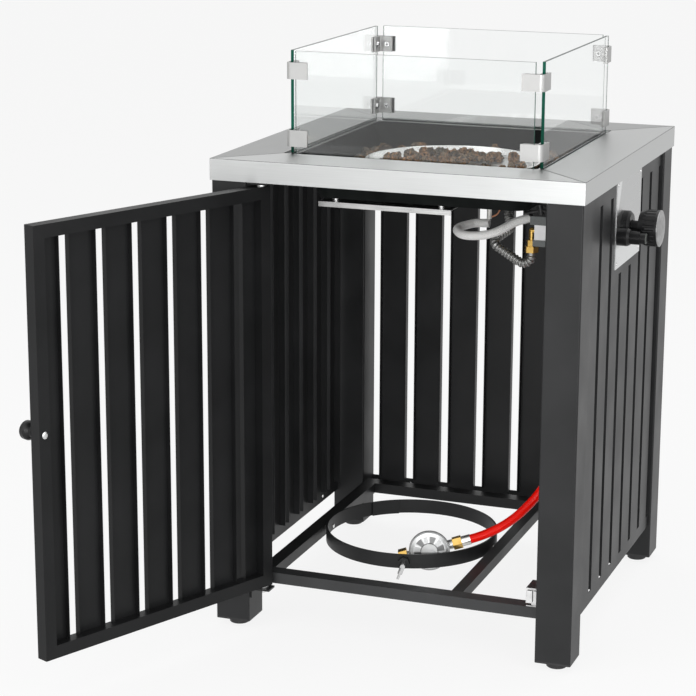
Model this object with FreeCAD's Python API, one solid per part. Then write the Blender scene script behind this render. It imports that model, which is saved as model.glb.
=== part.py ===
import FreeCAD, Part
import math
import os

# Fire pit table, millimetres, +Z up, origin on the floor under the middle of the tabletop.
# The door is on the -Y side, the control plate on the +X side. The door is shown swung open.

Vector = FreeCAD.Vector
UP = Vector(0, 0, 1)
DOWN = Vector(0, 0, -1)
OUT = Vector(1, 0, 0)

# Tabletop
TOP_SIDE = 600.0
TOP_HEIGHT = 770.0
TOP_SHEET = 1.2
TOP_RIM = 34.0
TOP_EDGE_ROUND = 1.0
LEDGE_WIDTH = 15.0
LEDGE_DROP = 3.0
LEDGE_CORNER = 8.0
MITRE_WIDTH = 0.8
MITRE_DEPTH = 0.4

# Legs and feet
LEG_TUBE = 57.5
LEG_WALL = 1.5
LEG_ROUND = 2.5
LEG_INSET = 2.5
FOOT_HEIGHT = 15.0
FOOT_FLANGE = 3.0
FOOT_PLUG = 15.0
FOOT_PLUG_FIT = 0.2
GLIDE_DIAMETER = 33.0
GLIDE_BEVEL = 1.2

# Beams under the top
BEAM_SIZE = 20.0
BEAM_WALL = 1.5

# Slatted panels
PANEL_SHEET = 1.2
PANEL_RECESS = 5.5
PANEL_BOTTOM = 70.0
PANEL_LAP = 16.0
PANEL_BAND = 20.0
PANEL_TOP_BAND = 24.0
SLAT_COUNT = 7
SLAT_WIDTH = 50.0
SLAT_FLANGE = 11.0

# Base rails
RAIL_BOTTOM = 72.0
RAIL_HEIGHT = 18.0
RAIL_WALL = 1.5
END_RAIL_DEPTH = 26.0
LEFT_RAIL_WIDTH = 23.0
CROSS_RAIL_WIDTH = 19.0

# Ring that holds the gas cylinder
RING_DIAMETER = 293.0
RING_BAND = 3.0
RING_HEIGHT = 24.0
RING_BOTTOM = 77.0
RING_BACK = 5.0
RING_SIDE_GAP = 5.0
LAP_START = 118.0
LAP_ANGLE = 20.0

# Clamp screw of the ring
CLAMP_ANGLE = -76.0
CLAMP_HOLE_FIT = 0.5
CLAMP_SCREW_DIAMETER = 8.0
CLAMP_RUNNING_FIT = 0.06
CLAMP_NUT_FLATS = 17.0
CLAMP_NUT_LENGTH = 8.0
CLAMP_SHANK = 14.5
CLAMP_LEVER = 24.0
CLAMP_LEVER_DIAMETER = 8.4
CLAMP_LEVER_SHARE = 0.6
CLAMP_TIP_DIAMETER = 4.6
CLAMP_LEVER_LEAN = 20.0
CLAMP_PAD_DIAMETER = 16.0
CLAMP_PAD = 3.0

# Gap left between pieces that move past each other or are only laid down
REST_GAP = 0.3

# Door
DOOR_SIDE_GAP = 9.0
DOOR_BOTTOM = 73.0
DOOR_TOP_GAP = 7.5
DOOR_TUBE = 20.0
DOOR_WALL = 1.2
DOOR_RECESS = 7.0
DOOR_OPEN_ANGLE = 113.8
DOOR_SLOT = 18.0
DOOR_SLAT_COUNT = 5
DOOR_SLAT_WIDTH = 50.0
DOOR_SLAT_FLANGE = 9.0
DOOR_SLAT_RECESS = 2.5
HANDLE_HEIGHT = 420.0
HANDLE_DIAMETER = 29.0
HANDLE_LENGTH = 25.0
HANDLE_SCREW_DIAMETER = 11.0

# Hinges
PIN_DIAMETER = 8.0
PIN_FIT = 0.05
COLLAR_DIAMETER = 16.0
TAB_THICKNESS = 3.0
TAB_GAP = 4.0
TAB_WIDTH = 24.0
TAB_REACH = 33.0
TAB_FOOT = 14.0

# Magnet catch
CATCH_WIDTH = 24.0
CATCH_HEIGHT = 25.0
CATCH_BOTTOM = 96.0
CATCH_CASE = 38.0
CATCH_POLE = 4.0
CATCH_GAP = 0.5

# Burner pan and bowl
PAN_SHEET = 1.2
PAN_FLANGE = 13.0
PAN_DEPTH = 74.0
PAN_SLOPE = 23.0
PAN_CORNER = 30.0
BOWL_SHEET = 1.0
BOWL_FLOOR_DIAMETER = 236.0
BOWL_DIAMETER = 282.0
BOWL_DEPTH = 44.0
BOWL_BEAD = 5.0
PLATE_RISE = 34.0
PLATE_SHEET = 1.2
PLATE_HOLE = 8.0
PLATE_HOLE_ROWS = 2
PLATE_HOLE_PITCH = 20.0

# Lava rocks
ROCK_WIDTH = 42.0
ROCK_HEIGHT = 18.0
ROCK_SIDES = 7
ROCK_EDGE_GAP = 8.0
ROCKS_OUTER = 12
ROCKS_INNER = 6
CORNER_ROCK_WIDTH = 46.0
CORNER_ROCK_HEIGHT = 24.0
CORNER_ROCK_LAYERS = 2

# Burner tube and its inlet
BURNER_DIAMETER = 190.0
BURNER_TUBE = 16.0
BURNER_TUBE_SIDES = 12
BURNER_CROSS = 12.8
BURNER_RISE = 6.0
INLET_ANGLE = 30.0
INLET_TUBE = 14.0
INLET_HOLE_FIT = 0.3
COUPLING_FLATS = 22.0
COUPLING_LENGTH = 24.0
COUPLING_DEPTH = 12.0

# Heat shield
SHIELD_LEFT = -173.0
SHIELD_RIGHT = 49.0
SHIELD_DEPTH = 320.0
SHIELD_SHEET = 1.2
SHIELD_LIP = 7.0
SHIELD_DROP = 9.0
STUD_DIAMETER = 6.0
STUD_INSET = 22.0

# Control plate and what stands on it
CONTROL_PLATE_FRONT = -72.0
CONTROL_PLATE_WIDTH = 163.0
CONTROL_PLATE_HEIGHT = 142.0
CONTROL_PLATE_DROP = 1.0
CONTROL_PLATE_SHEET = 1.2
WINDOW_MARGIN = 12.0
RIVET_DIAMETER = 6.0
RIVET_INSET = 8.0
VALVE_Y = -22.0
VALVE_DROP = 115.0
BEZEL_DIAMETER = 50.0
BEZEL_HEIGHT = 13.0
NECK_DIAMETER = 20.0
NECK_FIT = 1.0
STEM_DIAMETER = 8.0
STEM_FIT = 0.05
STEM_DEPTH = 26.0
KNOB_STANDOFF = 27.0
KNOB_DIAMETER = 58.0
KNOB_HEIGHT = 31.0
KNOB_TAPER = 4.0
KNOB_TAPER_HEIGHT = 12.0
KNOB_FLUTES = 24
KNOB_FLUTE = 2.4
KNOB_CAP_HEIGHT = 4.0
KNOB_SOCKET = 16.0
KNOB_PUSH = 3.0
IGNITER_Y = -60.5
IGNITER_DROP = 125.0
IGNITER_NUT_DIAMETER = 28.0
IGNITER_NUT_LENGTH = 20.0
IGNITER_COLLAR_DIAMETER = 21.0
IGNITER_COLLAR_LENGTH = 16.0
IGNITER_BARREL_DIAMETER = 20.0
IGNITER_BARREL_LENGTH = 48.0
BARREL_FIT = 0.3
BUTTON_DIAMETER = 17.0
BUTTON_FIT = 0.08
BUTTON_STANDS = 11.0
BUTTON_SEAT = 9.0
BUTTON_PUSH = 4.0

# Valve and gas pipework
VALVE_BODY_DIAMETER = 26.0
VALVE_BODY_LENGTH = 84.0
VALVE_BLOCK_REACH = 142.0
VALVE_BLOCK_WIDTH = 26.0
VALVE_BLOCK_DROP = 31.0
VALVE_BLOCK_HEIGHT = 25.0
BRACKET_OVERHANG = 7.0
BRACKET_STEP = 5.0
BRACKET_SHEET = 1.5
BRACKET_TOP_LIP = 14.0
BRACKET_LOW_LIP = 10.0
BRACKET_MARGIN = 2.0
OUTLET_REACH = 8.0
OUTLET_SET_BACK = 2.0
OUTLET_DIAMETER = 10.0
OUTLET_HEX_FLATS = 15.0
OUTLET_HEX_LENGTH = 10.0
OUTLET_NUT_FLATS = 20.0
OUTLET_NUT_LENGTH = 10.0
OUTLET_NUT_DROP = 54.0
PIPE_DIAMETER = 15.5
PIPE_RIB_DEPTH = 1.5
PIPE_WALL = 1.0
PIPE_RIBS = 30
PIPE_RISE = 29.0
HOSE_DIAMETER = 15.0
FERRULE_DIAMETER = 17.0
FERRULE_LENGTH = 15.0
HOSE_NUT_FLATS = 19.0
HOSE_NUT_LENGTH = 15.0
HOSE_VALVE_X = 215.0
HOSE_STRAIGHT_LOW = 50.0
HOSE_STRAIGHT_HIGH = 68.0
SLEEVE_DIAMETER = 14.0
ELECTRODE_DIAMETER = 7.5
ELECTRODE_X = 57.0
ELECTRODE_Y = 24.0
ELECTRODE_LENGTH = 54.5
WIRE_DIAMETER = 2.6

# Routes: the pipe from its nut, the sleeve from the foot of the electrode, the hose from the
# valve's axis with its height as a share of the whole rise
PIPE_ROUTE = ((0.0, 0.0, -24.0), (-14.5, 0.0, -31.0), (-61.0, 1.0, -4.0), (-67.0, 14.0, 3.0),
              (-47.0, 48.0, 18.0))
SLEEVE_ROUTE = ((27.0, -80.0, -10.5), (-21.0, -81.0, -15.5), (-47.0, -40.0, -11.5), (-25.0, 0.0, -8.5))
WIRE_ROUTE = ((0.0, 4.0), (9.0, 8.0), (17.0, 24.0))
HOSE_ROUTE = ((-52.0, 8.0, 0.143), (-15.0, 14.0, 0.303), (1.0, 8.0, 0.505), (4.0, 3.0, 0.697))

# Regulator
REGULATOR_ANGLE = -55.65
REGULATOR_GAP = 27.95
REGULATOR_Z = 97.5
REGULATOR_TURN = 18.0
REGULATOR_LEAN = 17.0
REGULATOR_DIAMETER = 68.0
REGULATOR_FRONT = 16.0
REGULATOR_BACK = 14.0
REGULATOR_CRIMP = 5.0
REGULATOR_DOME = 4.5
REGULATOR_OFFSET = 4.0
REGULATOR_PORT = 16.0
REGULATOR_REACH = 40.0
REGULATOR_RIBS = 6
INLET_SEAT = 2.0
INLET_NUT_FLATS = 26.0
INLET_NUT_LENGTH = 14.0
INLET_BORE = 21.0
INLET_BORE_DEPTH = 12.0

# Wind guard
GLASS_THICKNESS = 5.0
GLASS_LENGTH = 387.0
GLASS_HEIGHT = 162.7
GLASS_CORNER_GAP = 7.5
GLASS_INSET = 6.0
CLIP_PLATE = 3.0
CLIP_HEIGHT = 26.0
CLIP_OUTER_LEG = 36.0
CLIP_INNER_LEG = 25.0
CLIP_OUTER_ROUND = 8.0
CLIP_INNER_ROUND = 5.0
CLIP_LOW = 13.0
CLIP_HIGH = 119.0
CLIP_SCREW_DIAMETER = 5.0
CLIP_SCREW_FIT = 0.05
CLIP_SCREW_HEAD = 10.0
CLIP_HEAD_HEIGHT = 3.0
GLASS_HOLE_FIT = 1.0

# Small fasteners
SCREW_HEAD_DIAMETER = 7.0
SCREW_HEAD_HEIGHT = 1.8
SPACER_DIAMETER = 10.0

# Places that follow from the sizes above
HALF = TOP_SIDE / 2
TOP_UNDER = TOP_HEIGHT - TOP_SHEET
RIM_BOTTOM = TOP_HEIGHT - TOP_RIM
LEDGE_TOP = TOP_HEIGHT - LEDGE_DROP
LEDGE_UNDER = LEDGE_TOP - TOP_SHEET
GLASS_BACK = GLASS_LENGTH / 2 + GLASS_CORNER_GAP
GLASS_FACE = GLASS_BACK + GLASS_THICKNESS
GLASS_BOTTOM = LEDGE_TOP + REST_GAP
OPENING_HALF = GLASS_FACE + GLASS_INSET
LEDGE_HALF = OPENING_HALF - LEDGE_WIDTH
LEG_FACE = HALF - LEG_INSET
LEG_CENTRE = LEG_FACE - LEG_TUBE / 2
BAY = LEG_FACE - LEG_TUBE
PANEL_FACE = LEG_FACE - PANEL_RECESS
PANEL_BACK = PANEL_FACE - PANEL_SHEET
BEAM_BOTTOM = TOP_UNDER - BEAM_SIZE
PANEL_TOP = BEAM_BOTTOM + PANEL_LAP
SLOT_BOTTOM = PANEL_BOTTOM + PANEL_BAND
SLOT_TOP = RIM_BOTTOM - PANEL_TOP_BAND
SLOT_WIDTH = (2 * BAY - SLAT_COUNT * SLAT_WIDTH) / (SLAT_COUNT + 1)
RAIL_TOP = RAIL_BOTTOM + RAIL_HEIGHT
LEFT_RAIL_INSIDE = -BAY + LEFT_RAIL_WIDTH
RING_OUTER = RING_DIAMETER / 2
RING_X = LEFT_RAIL_INSIDE + RING_SIDE_GAP + RING_OUTER
RING_CENTRE = Vector(RING_X, RING_BACK, 0)
CROSS_RAIL_LEFT = RING_X + RING_OUTER + RING_SIDE_GAP
RING_INNER = RING_OUTER - RING_BAND
RING_MIDDLE = RING_BOTTOM + RING_HEIGHT / 2
CLAMP_OUT = Vector(math.cos(math.radians(CLAMP_ANGLE)), math.sin(math.radians(CLAMP_ANGLE)), 0)
REGULATOR_WAY = Vector(math.cos(math.radians(REGULATOR_ANGLE)), math.sin(math.radians(REGULATOR_ANGLE)), 0)
REGULATOR_CENTRE = RING_CENTRE + REGULATOR_WAY * (RING_INNER - REGULATOR_GAP) + UP * REGULATOR_Z
DOOR_HALF = BAY - DOOR_SIDE_GAP
DOOR_FACE = -(LEG_FACE - DOOR_RECESS)
DOOR_INSIDE = DOOR_FACE + DOOR_TUBE
DOOR_TOP = RIM_BOTTOM - DOOR_TOP_GAP
PIVOT_X = -DOOR_HALF + DOOR_TUBE / 2
PIVOT_Y = DOOR_FACE + DOOR_TUBE / 2
PAN_FLOOR = TOP_HEIGHT - PAN_DEPTH
PAN_FLOOR_HALF = LEDGE_HALF - PAN_SLOPE
PAN_INSIDE_FLOOR = PAN_FLOOR + PAN_SHEET
PAN_INSIDE_CORNER = PAN_CORNER - PAN_SHEET
PAN_CORNER_REACH = PAN_FLOOR_HALF * math.sqrt(2) - PAN_INSIDE_CORNER * (math.sqrt(2) - 1)
BOWL_RIM = (BOWL_DIAMETER + BOWL_BEAD) / 2
CORNER_ROCK_PLACE = (BOWL_RIM + PAN_CORNER_REACH) / 2 / math.sqrt(2)
PLATE_BOTTOM = PAN_INSIDE_FLOOR + PLATE_RISE
PLATE_FACE = PANEL_FACE + CONTROL_PLATE_SHEET
CONTROL_PLATE_BACK = CONTROL_PLATE_FRONT + CONTROL_PLATE_WIDTH
CONTROL_PLATE_TOP = RIM_BOTTOM - CONTROL_PLATE_DROP
CONTROL_PLATE_BOTTOM = CONTROL_PLATE_TOP - CONTROL_PLATE_HEIGHT
VALVE_Z = TOP_HEIGHT - VALVE_DROP
IGNITER_Z = TOP_HEIGHT - IGNITER_DROP
STEM_END = PLATE_FACE - STEM_DEPTH
VALVE_FRONT = PANEL_BACK - SLAT_FLANGE + 4
VALVE_BLOCK_LEFT = PANEL_FACE - VALVE_BLOCK_REACH
VALVE_BLOCK_BOTTOM = VALVE_Z - VALVE_BLOCK_DROP
VALVE_BLOCK_TOP = VALVE_BLOCK_BOTTOM + VALVE_BLOCK_HEIGHT
BRACKET_LEFT = VALVE_BLOCK_LEFT - BRACKET_OVERHANG
OUTLET_X = VALVE_BLOCK_LEFT - OUTLET_REACH
OUTLET_Y = VALVE_Y + OUTLET_SET_BACK
OUTLET_Z = VALVE_BLOCK_BOTTOM + VALVE_BLOCK_HEIGHT / 2
OUTLET_NUT_BOTTOM = VALVE_Z - OUTLET_NUT_DROP
ELECTRODE_FOOT = Vector(ELECTRODE_X, ELECTRODE_Y, PAN_FLOOR - ELECTRODE_LENGTH)
HOSE_START = REGULATOR_REACH + HOSE_NUT_LENGTH + FERRULE_LENGTH
HOSE_TOP = VALVE_BLOCK_BOTTOM - HOSE_NUT_LENGTH - FERRULE_LENGTH


def block(x0, x1, y0, y1, z0, z1):
    return Part.makeBox(x1 - x0, y1 - y0, z1 - z0, Vector(x0, y0, z0))


def rod(diameter, start, end):
    return Part.makeCylinder(diameter / 2, (end - start).Length, start, end - start)


def sleeve(outer, inner, start, end):
    return rod(outer, start, end).cut(rod(inner, start, end))


def placed(shape, origin, axis):
    """Move a shape made round +Z at the origin to another origin and axis."""
    moved = shape.copy()
    moved.Placement = FreeCAD.Placement(origin, FreeCAD.Rotation(UP, axis)).multiply(moved.Placement)
    return moved


def turned(outline, origin, axis):
    """Revolve an outline of (radius, height) points round an axis."""
    points = [Vector(radius, 0, height) for radius, height in outline]
    face = Part.Face(Part.makePolygon(points + points[:1]))
    return placed(face.revolve(Vector(0, 0, 0), UP, 360), origin, axis)


def hexagon(flats, start, end):
    radius = flats / math.sqrt(3)
    turns = [math.radians(60 * i) for i in range(6)]
    corners = [Vector(radius * math.cos(turn), radius * math.sin(turn), 0) for turn in turns]
    face = Part.Face(Part.makePolygon(corners + corners[:1]))
    return placed(face.extrude(UP * (end - start).Length), start, end - start)


def rounded_outline(half, radius, z):
    """Square wire with rounded corners."""
    flat = half - radius
    edges = []
    for quarter in range(4):
        turn = math.radians(90 * quarter)
        across = Vector(math.cos(turn), math.sin(turn), 0)
        along = Vector(-math.sin(turn), math.cos(turn), 0)
        centre = across * flat + along * flat + UP * z
        start = centre + across * radius
        middle = centre + (across + along) * (radius / math.sqrt(2))
        end = centre + along * radius
        edges.append(Part.makeLine(across * half - along * flat + UP * z, start))
        edges.append(Part.Arc(start, middle, end).toShape())
    return Part.Wire(edges)


def rounded_block(half, radius, z0, z1):
    return Part.Face(rounded_outline(half, radius, z0)).extrude(UP * (z1 - z0))


def about_z(shape, degrees, centre=Vector(0, 0, 0)):
    copy = shape.copy()
    copy.rotate(centre, UP, degrees)
    return copy


def four_sides(shape):
    return [about_z(shape, 90 * i) for i in range(4)]


def group(shapes):
    return Part.makeCompound(shapes)


def round_path(points, factor=0.45):
    """Straight runs joined by tangent arcs, as large as the shorter run of each corner allows."""
    edges = []
    radii = []
    start = points[0]
    for before, corner, after in zip(points, points[1:], points[2:]):
        back = (before - corner).normalize()
        ahead = (after - corner).normalize()
        shorter = min((before - corner).Length, (after - corner).Length)
        reach = factor * shorter
        half_turn = (math.pi - back.getAngle(ahead)) / 2
        radius = reach / math.tan(half_turn)
        entry = corner + back * reach
        leave = corner + ahead * reach
        middle_way = (back + ahead).normalize()
        centre = corner + middle_way * (radius / math.cos(half_turn))
        edges.append(Part.LineSegment(start, entry).toShape())
        edges.append(Part.Arc(entry, centre - middle_way * radius, leave).toShape())
        radii.append(round(radius, 1))
        start = leave
    edges.append(Part.LineSegment(start, points[-1]).toShape())
    return Part.Wire(edges), radii


def round_tube(name, points, diameter, factor=0.45):
    path, radii = round_path(points, factor)
    direction = points[1] - points[0]
    section = Part.Wire(Part.Circle(points[0], direction, diameter / 2).toShape())
    tube = path.makePipeShell([section], True, False)
    expected = math.pi * diameter ** 2 / 4 * path.Length
    print(name, "length", round(path.Length, 1), "arc radii", radii, "volume ratio",
          round(tube.Volume / expected, 4))
    return tube


def ribbed_tube(name, points, steady, factor):
    """Corrugated pipe: four circles a rib, ends plain for one diameter, bored through."""
    path, radii = round_path(points, factor)
    edges = path.OrderedEdges
    crest = PIPE_DIAMETER / 2
    root = crest - PIPE_RIB_DEPTH
    pitch = (path.Length - 2 * PIPE_DIAMETER) / PIPE_RIBS

    def station(distance):
        for edge in edges:
            if distance <= edge.Length + 1e-6:
                parameter = edge.getParameterByLength(min(distance, edge.Length))
                tangent = edge.tangentAt(parameter)
                if edge.Orientation == "Reversed":
                    parameter = edge.getParameterByLength(max(edge.Length - distance, 0))
                    tangent = edge.tangentAt(parameter) * -1
                return edge.valueAt(parameter), tangent
            distance -= edge.Length
        return edges[-1].valueAt(edges[-1].LastParameter), edges[-1].tangentAt(edges[-1].LastParameter)

    def ring(distance, radius):
        centre, tangent = station(distance)
        circle = Part.Circle(centre, tangent, radius)
        circle.XAxis = (steady - tangent * steady.dot(tangent)).normalize()
        return Part.Wire(circle.toShape())

    rings = [ring(0, root)]
    for rib in range(PIPE_RIBS):
        begin = PIPE_DIAMETER + rib * pitch
        rings.append(ring(begin, root))
        rings.append(ring(begin + 0.3 * pitch, crest))
        rings.append(ring(begin + 0.6 * pitch, crest))
        rings.append(ring(begin + 0.9 * pitch, root))
    rings.append(ring(path.Length, root))
    faces = [Part.Face(rings[0]), Part.Face(rings[-1])]
    faces += Part.makeLoft(rings[:2], False, True).Faces
    for first in range(1, len(rings) - 1, 4):
        faces += Part.makeLoft(rings[first:first + 5], False, True).Faces
    skin = Part.makeShell(faces)
    skin.sewShape()
    outside = Part.Solid(skin)
    if outside.Volume < 0:
        outside.reverse()
    bore = Part.Wire(Part.Circle(points[0], points[1] - points[0], root - PIPE_WALL).toShape())
    inside = path.makePipeShell([bore], True, False)
    print(name, "length", round(path.Length, 1), "arc radii", radii)
    return outside.cut(inside)


# Tabletop, legs and frame

def make_tabletop():
    box = block(-HALF, HALF, -HALF, HALF, RIM_BOTTOM, TOP_HEIGHT)
    corners = [edge for edge in box.Edges if edge.BoundBox.ZMax > TOP_HEIGHT - TOP_SHEET]
    shell = box.makeFillet(TOP_EDGE_ROUND, corners)
    inside = HALF - TOP_SHEET
    shell = shell.cut(block(-inside, inside, -inside, inside, RIM_BOTTOM - 1, TOP_UNDER))
    lip = OPENING_HALF + TOP_SHEET
    joggle = block(-lip, lip, -lip, lip, LEDGE_UNDER, TOP_HEIGHT)
    shell = shell.fuse(joggle)
    well = block(-OPENING_HALF, OPENING_HALF, -OPENING_HALF, OPENING_HALF, LEDGE_TOP, TOP_HEIGHT + 1)
    mouth = rounded_block(LEDGE_HALF, LEDGE_CORNER, LEDGE_UNDER - 1, TOP_HEIGHT + 1)
    diagonal = math.sqrt(2)
    groove = block((OPENING_HALF - MITRE_WIDTH) * diagonal, (HALF - 2 * TOP_SHEET) * diagonal,
                   -MITRE_WIDTH / 2, MITRE_WIDTH / 2, TOP_HEIGHT - MITRE_DEPTH, TOP_HEIGHT + 1)
    grooves = four_sides(about_z(groove, 45))
    return shell.cut([well, mouth] + grooves).removeSplitter()


def make_leg(x_sign, y_sign):
    outside = rounded_block(LEG_TUBE / 2, LEG_ROUND, FOOT_HEIGHT, TOP_UNDER)
    inside = rounded_block(LEG_TUBE / 2 - LEG_WALL, LEG_ROUND - LEG_WALL, FOOT_HEIGHT - 1, TOP_UNDER + 1)
    leg = outside.cut(inside)
    leg.translate(Vector(x_sign * LEG_CENTRE, y_sign * LEG_CENTRE, 0))
    return leg


def make_foot(x_sign, y_sign):
    flange = rounded_block(LEG_TUBE / 2, LEG_ROUND, FOOT_HEIGHT - FOOT_FLANGE, FOOT_HEIGHT)
    plug_half = LEG_TUBE / 2 - LEG_WALL - FOOT_PLUG_FIT
    plug = rounded_block(plug_half, LEG_ROUND - LEG_WALL, FOOT_HEIGHT, FOOT_HEIGHT + FOOT_PLUG)
    radius = GLIDE_DIAMETER / 2
    glide = turned([(0, 0), (radius - GLIDE_BEVEL, 0), (radius, GLIDE_BEVEL),
                    (radius, FOOT_HEIGHT - FOOT_FLANGE), (0, FOOT_HEIGHT - FOOT_FLANGE)], Vector(0, 0, 0), UP)
    foot = flange.fuse([plug, glide]).removeSplitter()
    foot.translate(Vector(x_sign * LEG_CENTRE, y_sign * LEG_CENTRE, 0))
    return foot


def make_top_frame():
    web = block(-BAY, BAY, PANEL_BACK - BEAM_WALL, PANEL_BACK, BEAM_BOTTOM, TOP_UNDER)
    shelf = block(-BAY, BAY, PANEL_BACK - BEAM_SIZE, PANEL_BACK, TOP_UNDER - BEAM_WALL, TOP_UNDER)
    return group(four_sides(web.fuse(shelf).removeSplitter()))


def hollow_rail(x0, x1, y0, y1):
    """Rectangular tube between two points of the base, open at its ends."""
    outside = block(x0, x1, y0, y1, RAIL_BOTTOM, RAIL_TOP)
    along_x = x1 - x0 > y1 - y0
    dx = -1 if along_x else RAIL_WALL
    dy = RAIL_WALL if along_x else -1
    inside = block(x0 + dx, x1 - dx, y0 + dy, y1 - dy, RAIL_BOTTOM + RAIL_WALL, RAIL_TOP - RAIL_WALL)
    return outside.cut(inside)


# Slatted panels

def slot_centres():
    pitch = SLAT_WIDTH + SLOT_WIDTH
    return [-BAY + SLOT_WIDTH / 2 + i * pitch for i in range(SLAT_COUNT + 1)]


def make_panel(window=None):
    """Panel on the +Y side: one sheet, slots with their edges folded inwards."""
    panel = block(-BAY, BAY, PANEL_BACK, PANEL_FACE, PANEL_BOTTOM, PANEL_TOP)
    slots = []
    flanges = []
    for centre in slot_centres():
        left = centre - SLOT_WIDTH / 2
        right = centre + SLOT_WIDTH / 2
        top = SLOT_TOP
        if window and left < window[1] and right > window[0]:
            top = window[2] - WINDOW_MARGIN
        slots.append(block(left, right, PANEL_BACK - 1, PANEL_FACE + 1, SLOT_BOTTOM, top))
        if left > -BAY + 1:
            flanges.append(block(left - PANEL_SHEET, left, PANEL_BACK - SLAT_FLANGE, PANEL_BACK,
                                 SLOT_BOTTOM, top))
        if right < BAY - 1:
            flanges.append(block(right, right + PANEL_SHEET, PANEL_BACK - SLAT_FLANGE, PANEL_BACK,
                                 SLOT_BOTTOM, top))
    panel = panel.cut(slots).fuse(flanges)
    if window:
        hole = block(window[0] + WINDOW_MARGIN, window[1] - WINDOW_MARGIN, PANEL_BACK - SLAT_FLANGE,
                     PANEL_FACE + 1, window[2] + WINDOW_MARGIN, window[3] - WINDOW_MARGIN)
        panel = panel.cut(hole)
    return panel.removeSplitter()


def make_right_panel():
    window = (-CONTROL_PLATE_BACK, -CONTROL_PLATE_FRONT, CONTROL_PLATE_BOTTOM, CONTROL_PLATE_TOP)
    panel = about_z(make_panel(window), -90)
    hole = rod(IGNITER_BARREL_DIAMETER + 2 * BARREL_FIT, on_plate(IGNITER_Y, IGNITER_Z, -30),
               on_plate(IGNITER_Y, IGNITER_Z))
    return panel.cut(hole).removeSplitter()


# Gas cylinder ring and its clamp

def clamp_point(radius):
    return RING_CENTRE + CLAMP_OUT * radius + UP * RING_MIDDLE


def make_ring():
    top = RING_CENTRE + UP * (RING_BOTTOM + RING_HEIGHT)
    bottom = RING_CENTRE + UP * RING_BOTTOM
    band = sleeve(RING_DIAMETER, RING_DIAMETER - 2 * RING_BAND, bottom, top)
    lap_outer = Part.makeCylinder(RING_INNER, RING_HEIGHT, bottom, UP, LAP_ANGLE)
    lap_inner = Part.makeCylinder(RING_INNER - RING_BAND, RING_HEIGHT, bottom, UP, LAP_ANGLE)
    lap = about_z(lap_outer.cut(lap_inner), LAP_START, RING_CENTRE)
    hole = rod(CLAMP_SCREW_DIAMETER + 2 * CLAMP_HOLE_FIT, clamp_point(RING_INNER - 5),
               clamp_point(RING_OUTER + 5))
    return band.fuse(lap).cut(hole).removeSplitter()


def make_clamp_nut():
    start = clamp_point(RING_OUTER)
    end = clamp_point(RING_OUTER + CLAMP_NUT_LENGTH)
    thread = CLAMP_SCREW_DIAMETER + 2 * CLAMP_RUNNING_FIT
    wall = block(RING_X - HALF, RING_X + HALF, -HALF, HALF, RING_BOTTOM, RING_BOTTOM + RING_HEIGHT)
    band = wall.cut(rod(RING_DIAMETER, RING_CENTRE + UP * RING_BOTTOM,
                        RING_CENTRE + UP * (RING_BOTTOM + RING_HEIGHT)))
    seat = clamp_point(RING_OUTER - RING_BAND / 2)
    nut = hexagon(CLAMP_NUT_FLATS, seat, end).common(band)
    return nut.cut(rod(thread, start - CLAMP_OUT * RING_BAND, end + CLAMP_OUT))


def make_clamp_screw():
    inner = clamp_point(RING_INNER)
    bend = clamp_point(RING_OUTER + CLAMP_NUT_LENGTH + CLAMP_SHANK)
    shank = rod(CLAMP_SCREW_DIAMETER, inner, bend + CLAMP_OUT * CLAMP_SCREW_DIAMETER / 2)
    sideways = CLAMP_OUT.cross(UP)
    lean = math.radians(CLAMP_LEVER_LEAN)
    lever_way = DOWN * math.cos(lean) + sideways * math.sin(lean)
    waist = bend + lever_way * CLAMP_LEVER * CLAMP_LEVER_SHARE
    lever = rod(CLAMP_LEVER_DIAMETER, bend, waist)
    tip = rod(CLAMP_TIP_DIAMETER, waist, bend + lever_way * CLAMP_LEVER)
    return shank.fuse([lever, tip]).removeSplitter()


def make_clamp_pad():
    outer = RING_INNER - REST_GAP
    radius = CLAMP_PAD_DIAMETER / 2
    return turned([(0, 0), (radius, 0), (radius, CLAMP_PAD - 1), (radius - 1, CLAMP_PAD), (0, CLAMP_PAD)],
                  clamp_point(outer), CLAMP_OUT * -1)


# Door, built closed and then swung open about its pins

def opened(shape):
    return about_z(shape, -DOOR_OPEN_ANGLE, Vector(PIVOT_X, PIVOT_Y, 0))


def upright(outline, y0, y1):
    """Extrude an outline of (x, z) points from y0 to y1."""
    points = [Vector(x, y0, z) for x, z in outline]
    return Part.Face(Part.makePolygon(points + points[:1])).extrude(Vector(0, y1 - y0, 0))


def make_door_frame():
    outer = (-DOOR_HALF, DOOR_HALF, DOOR_BOTTOM, DOOR_TOP)
    tubes = []
    for side in range(4):
        tube = upright(mitred_side(outer, DOOR_TUBE, 0, side), DOOR_FACE, DOOR_INSIDE)
        hollow = upright(mitred_side(outer, DOOR_TUBE, DOOR_WALL, side), DOOR_FACE + DOOR_WALL,
                         DOOR_INSIDE - DOOR_WALL)
        tubes.append(opened(tube.cut(hollow)))
    return group(tubes)


def mitred_side(outer, width, wall, side):
    """One side of a rectangular frame, cut at 45 degrees, drawn in by a wall all round."""
    left, right, bottom, top = outer
    near = wall
    far = width - wall
    bottom_side = [(left + near, bottom + near), (right - near, bottom + near),
                   (right - far, bottom + far), (left + far, bottom + far)]
    right_side = [(right - near, bottom + near), (right - near, top - near),
                  (right - far, top - far), (right - far, bottom + far)]
    top_side = [(left + near, top - near), (right - near, top - near),
                (right - far, top - far), (left + far, top - far)]
    left_side = [(left + near, bottom + near), (left + near, top - near),
                 (left + far, top - far), (left + far, bottom + far)]
    return [bottom_side, right_side, top_side, left_side][side]


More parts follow.
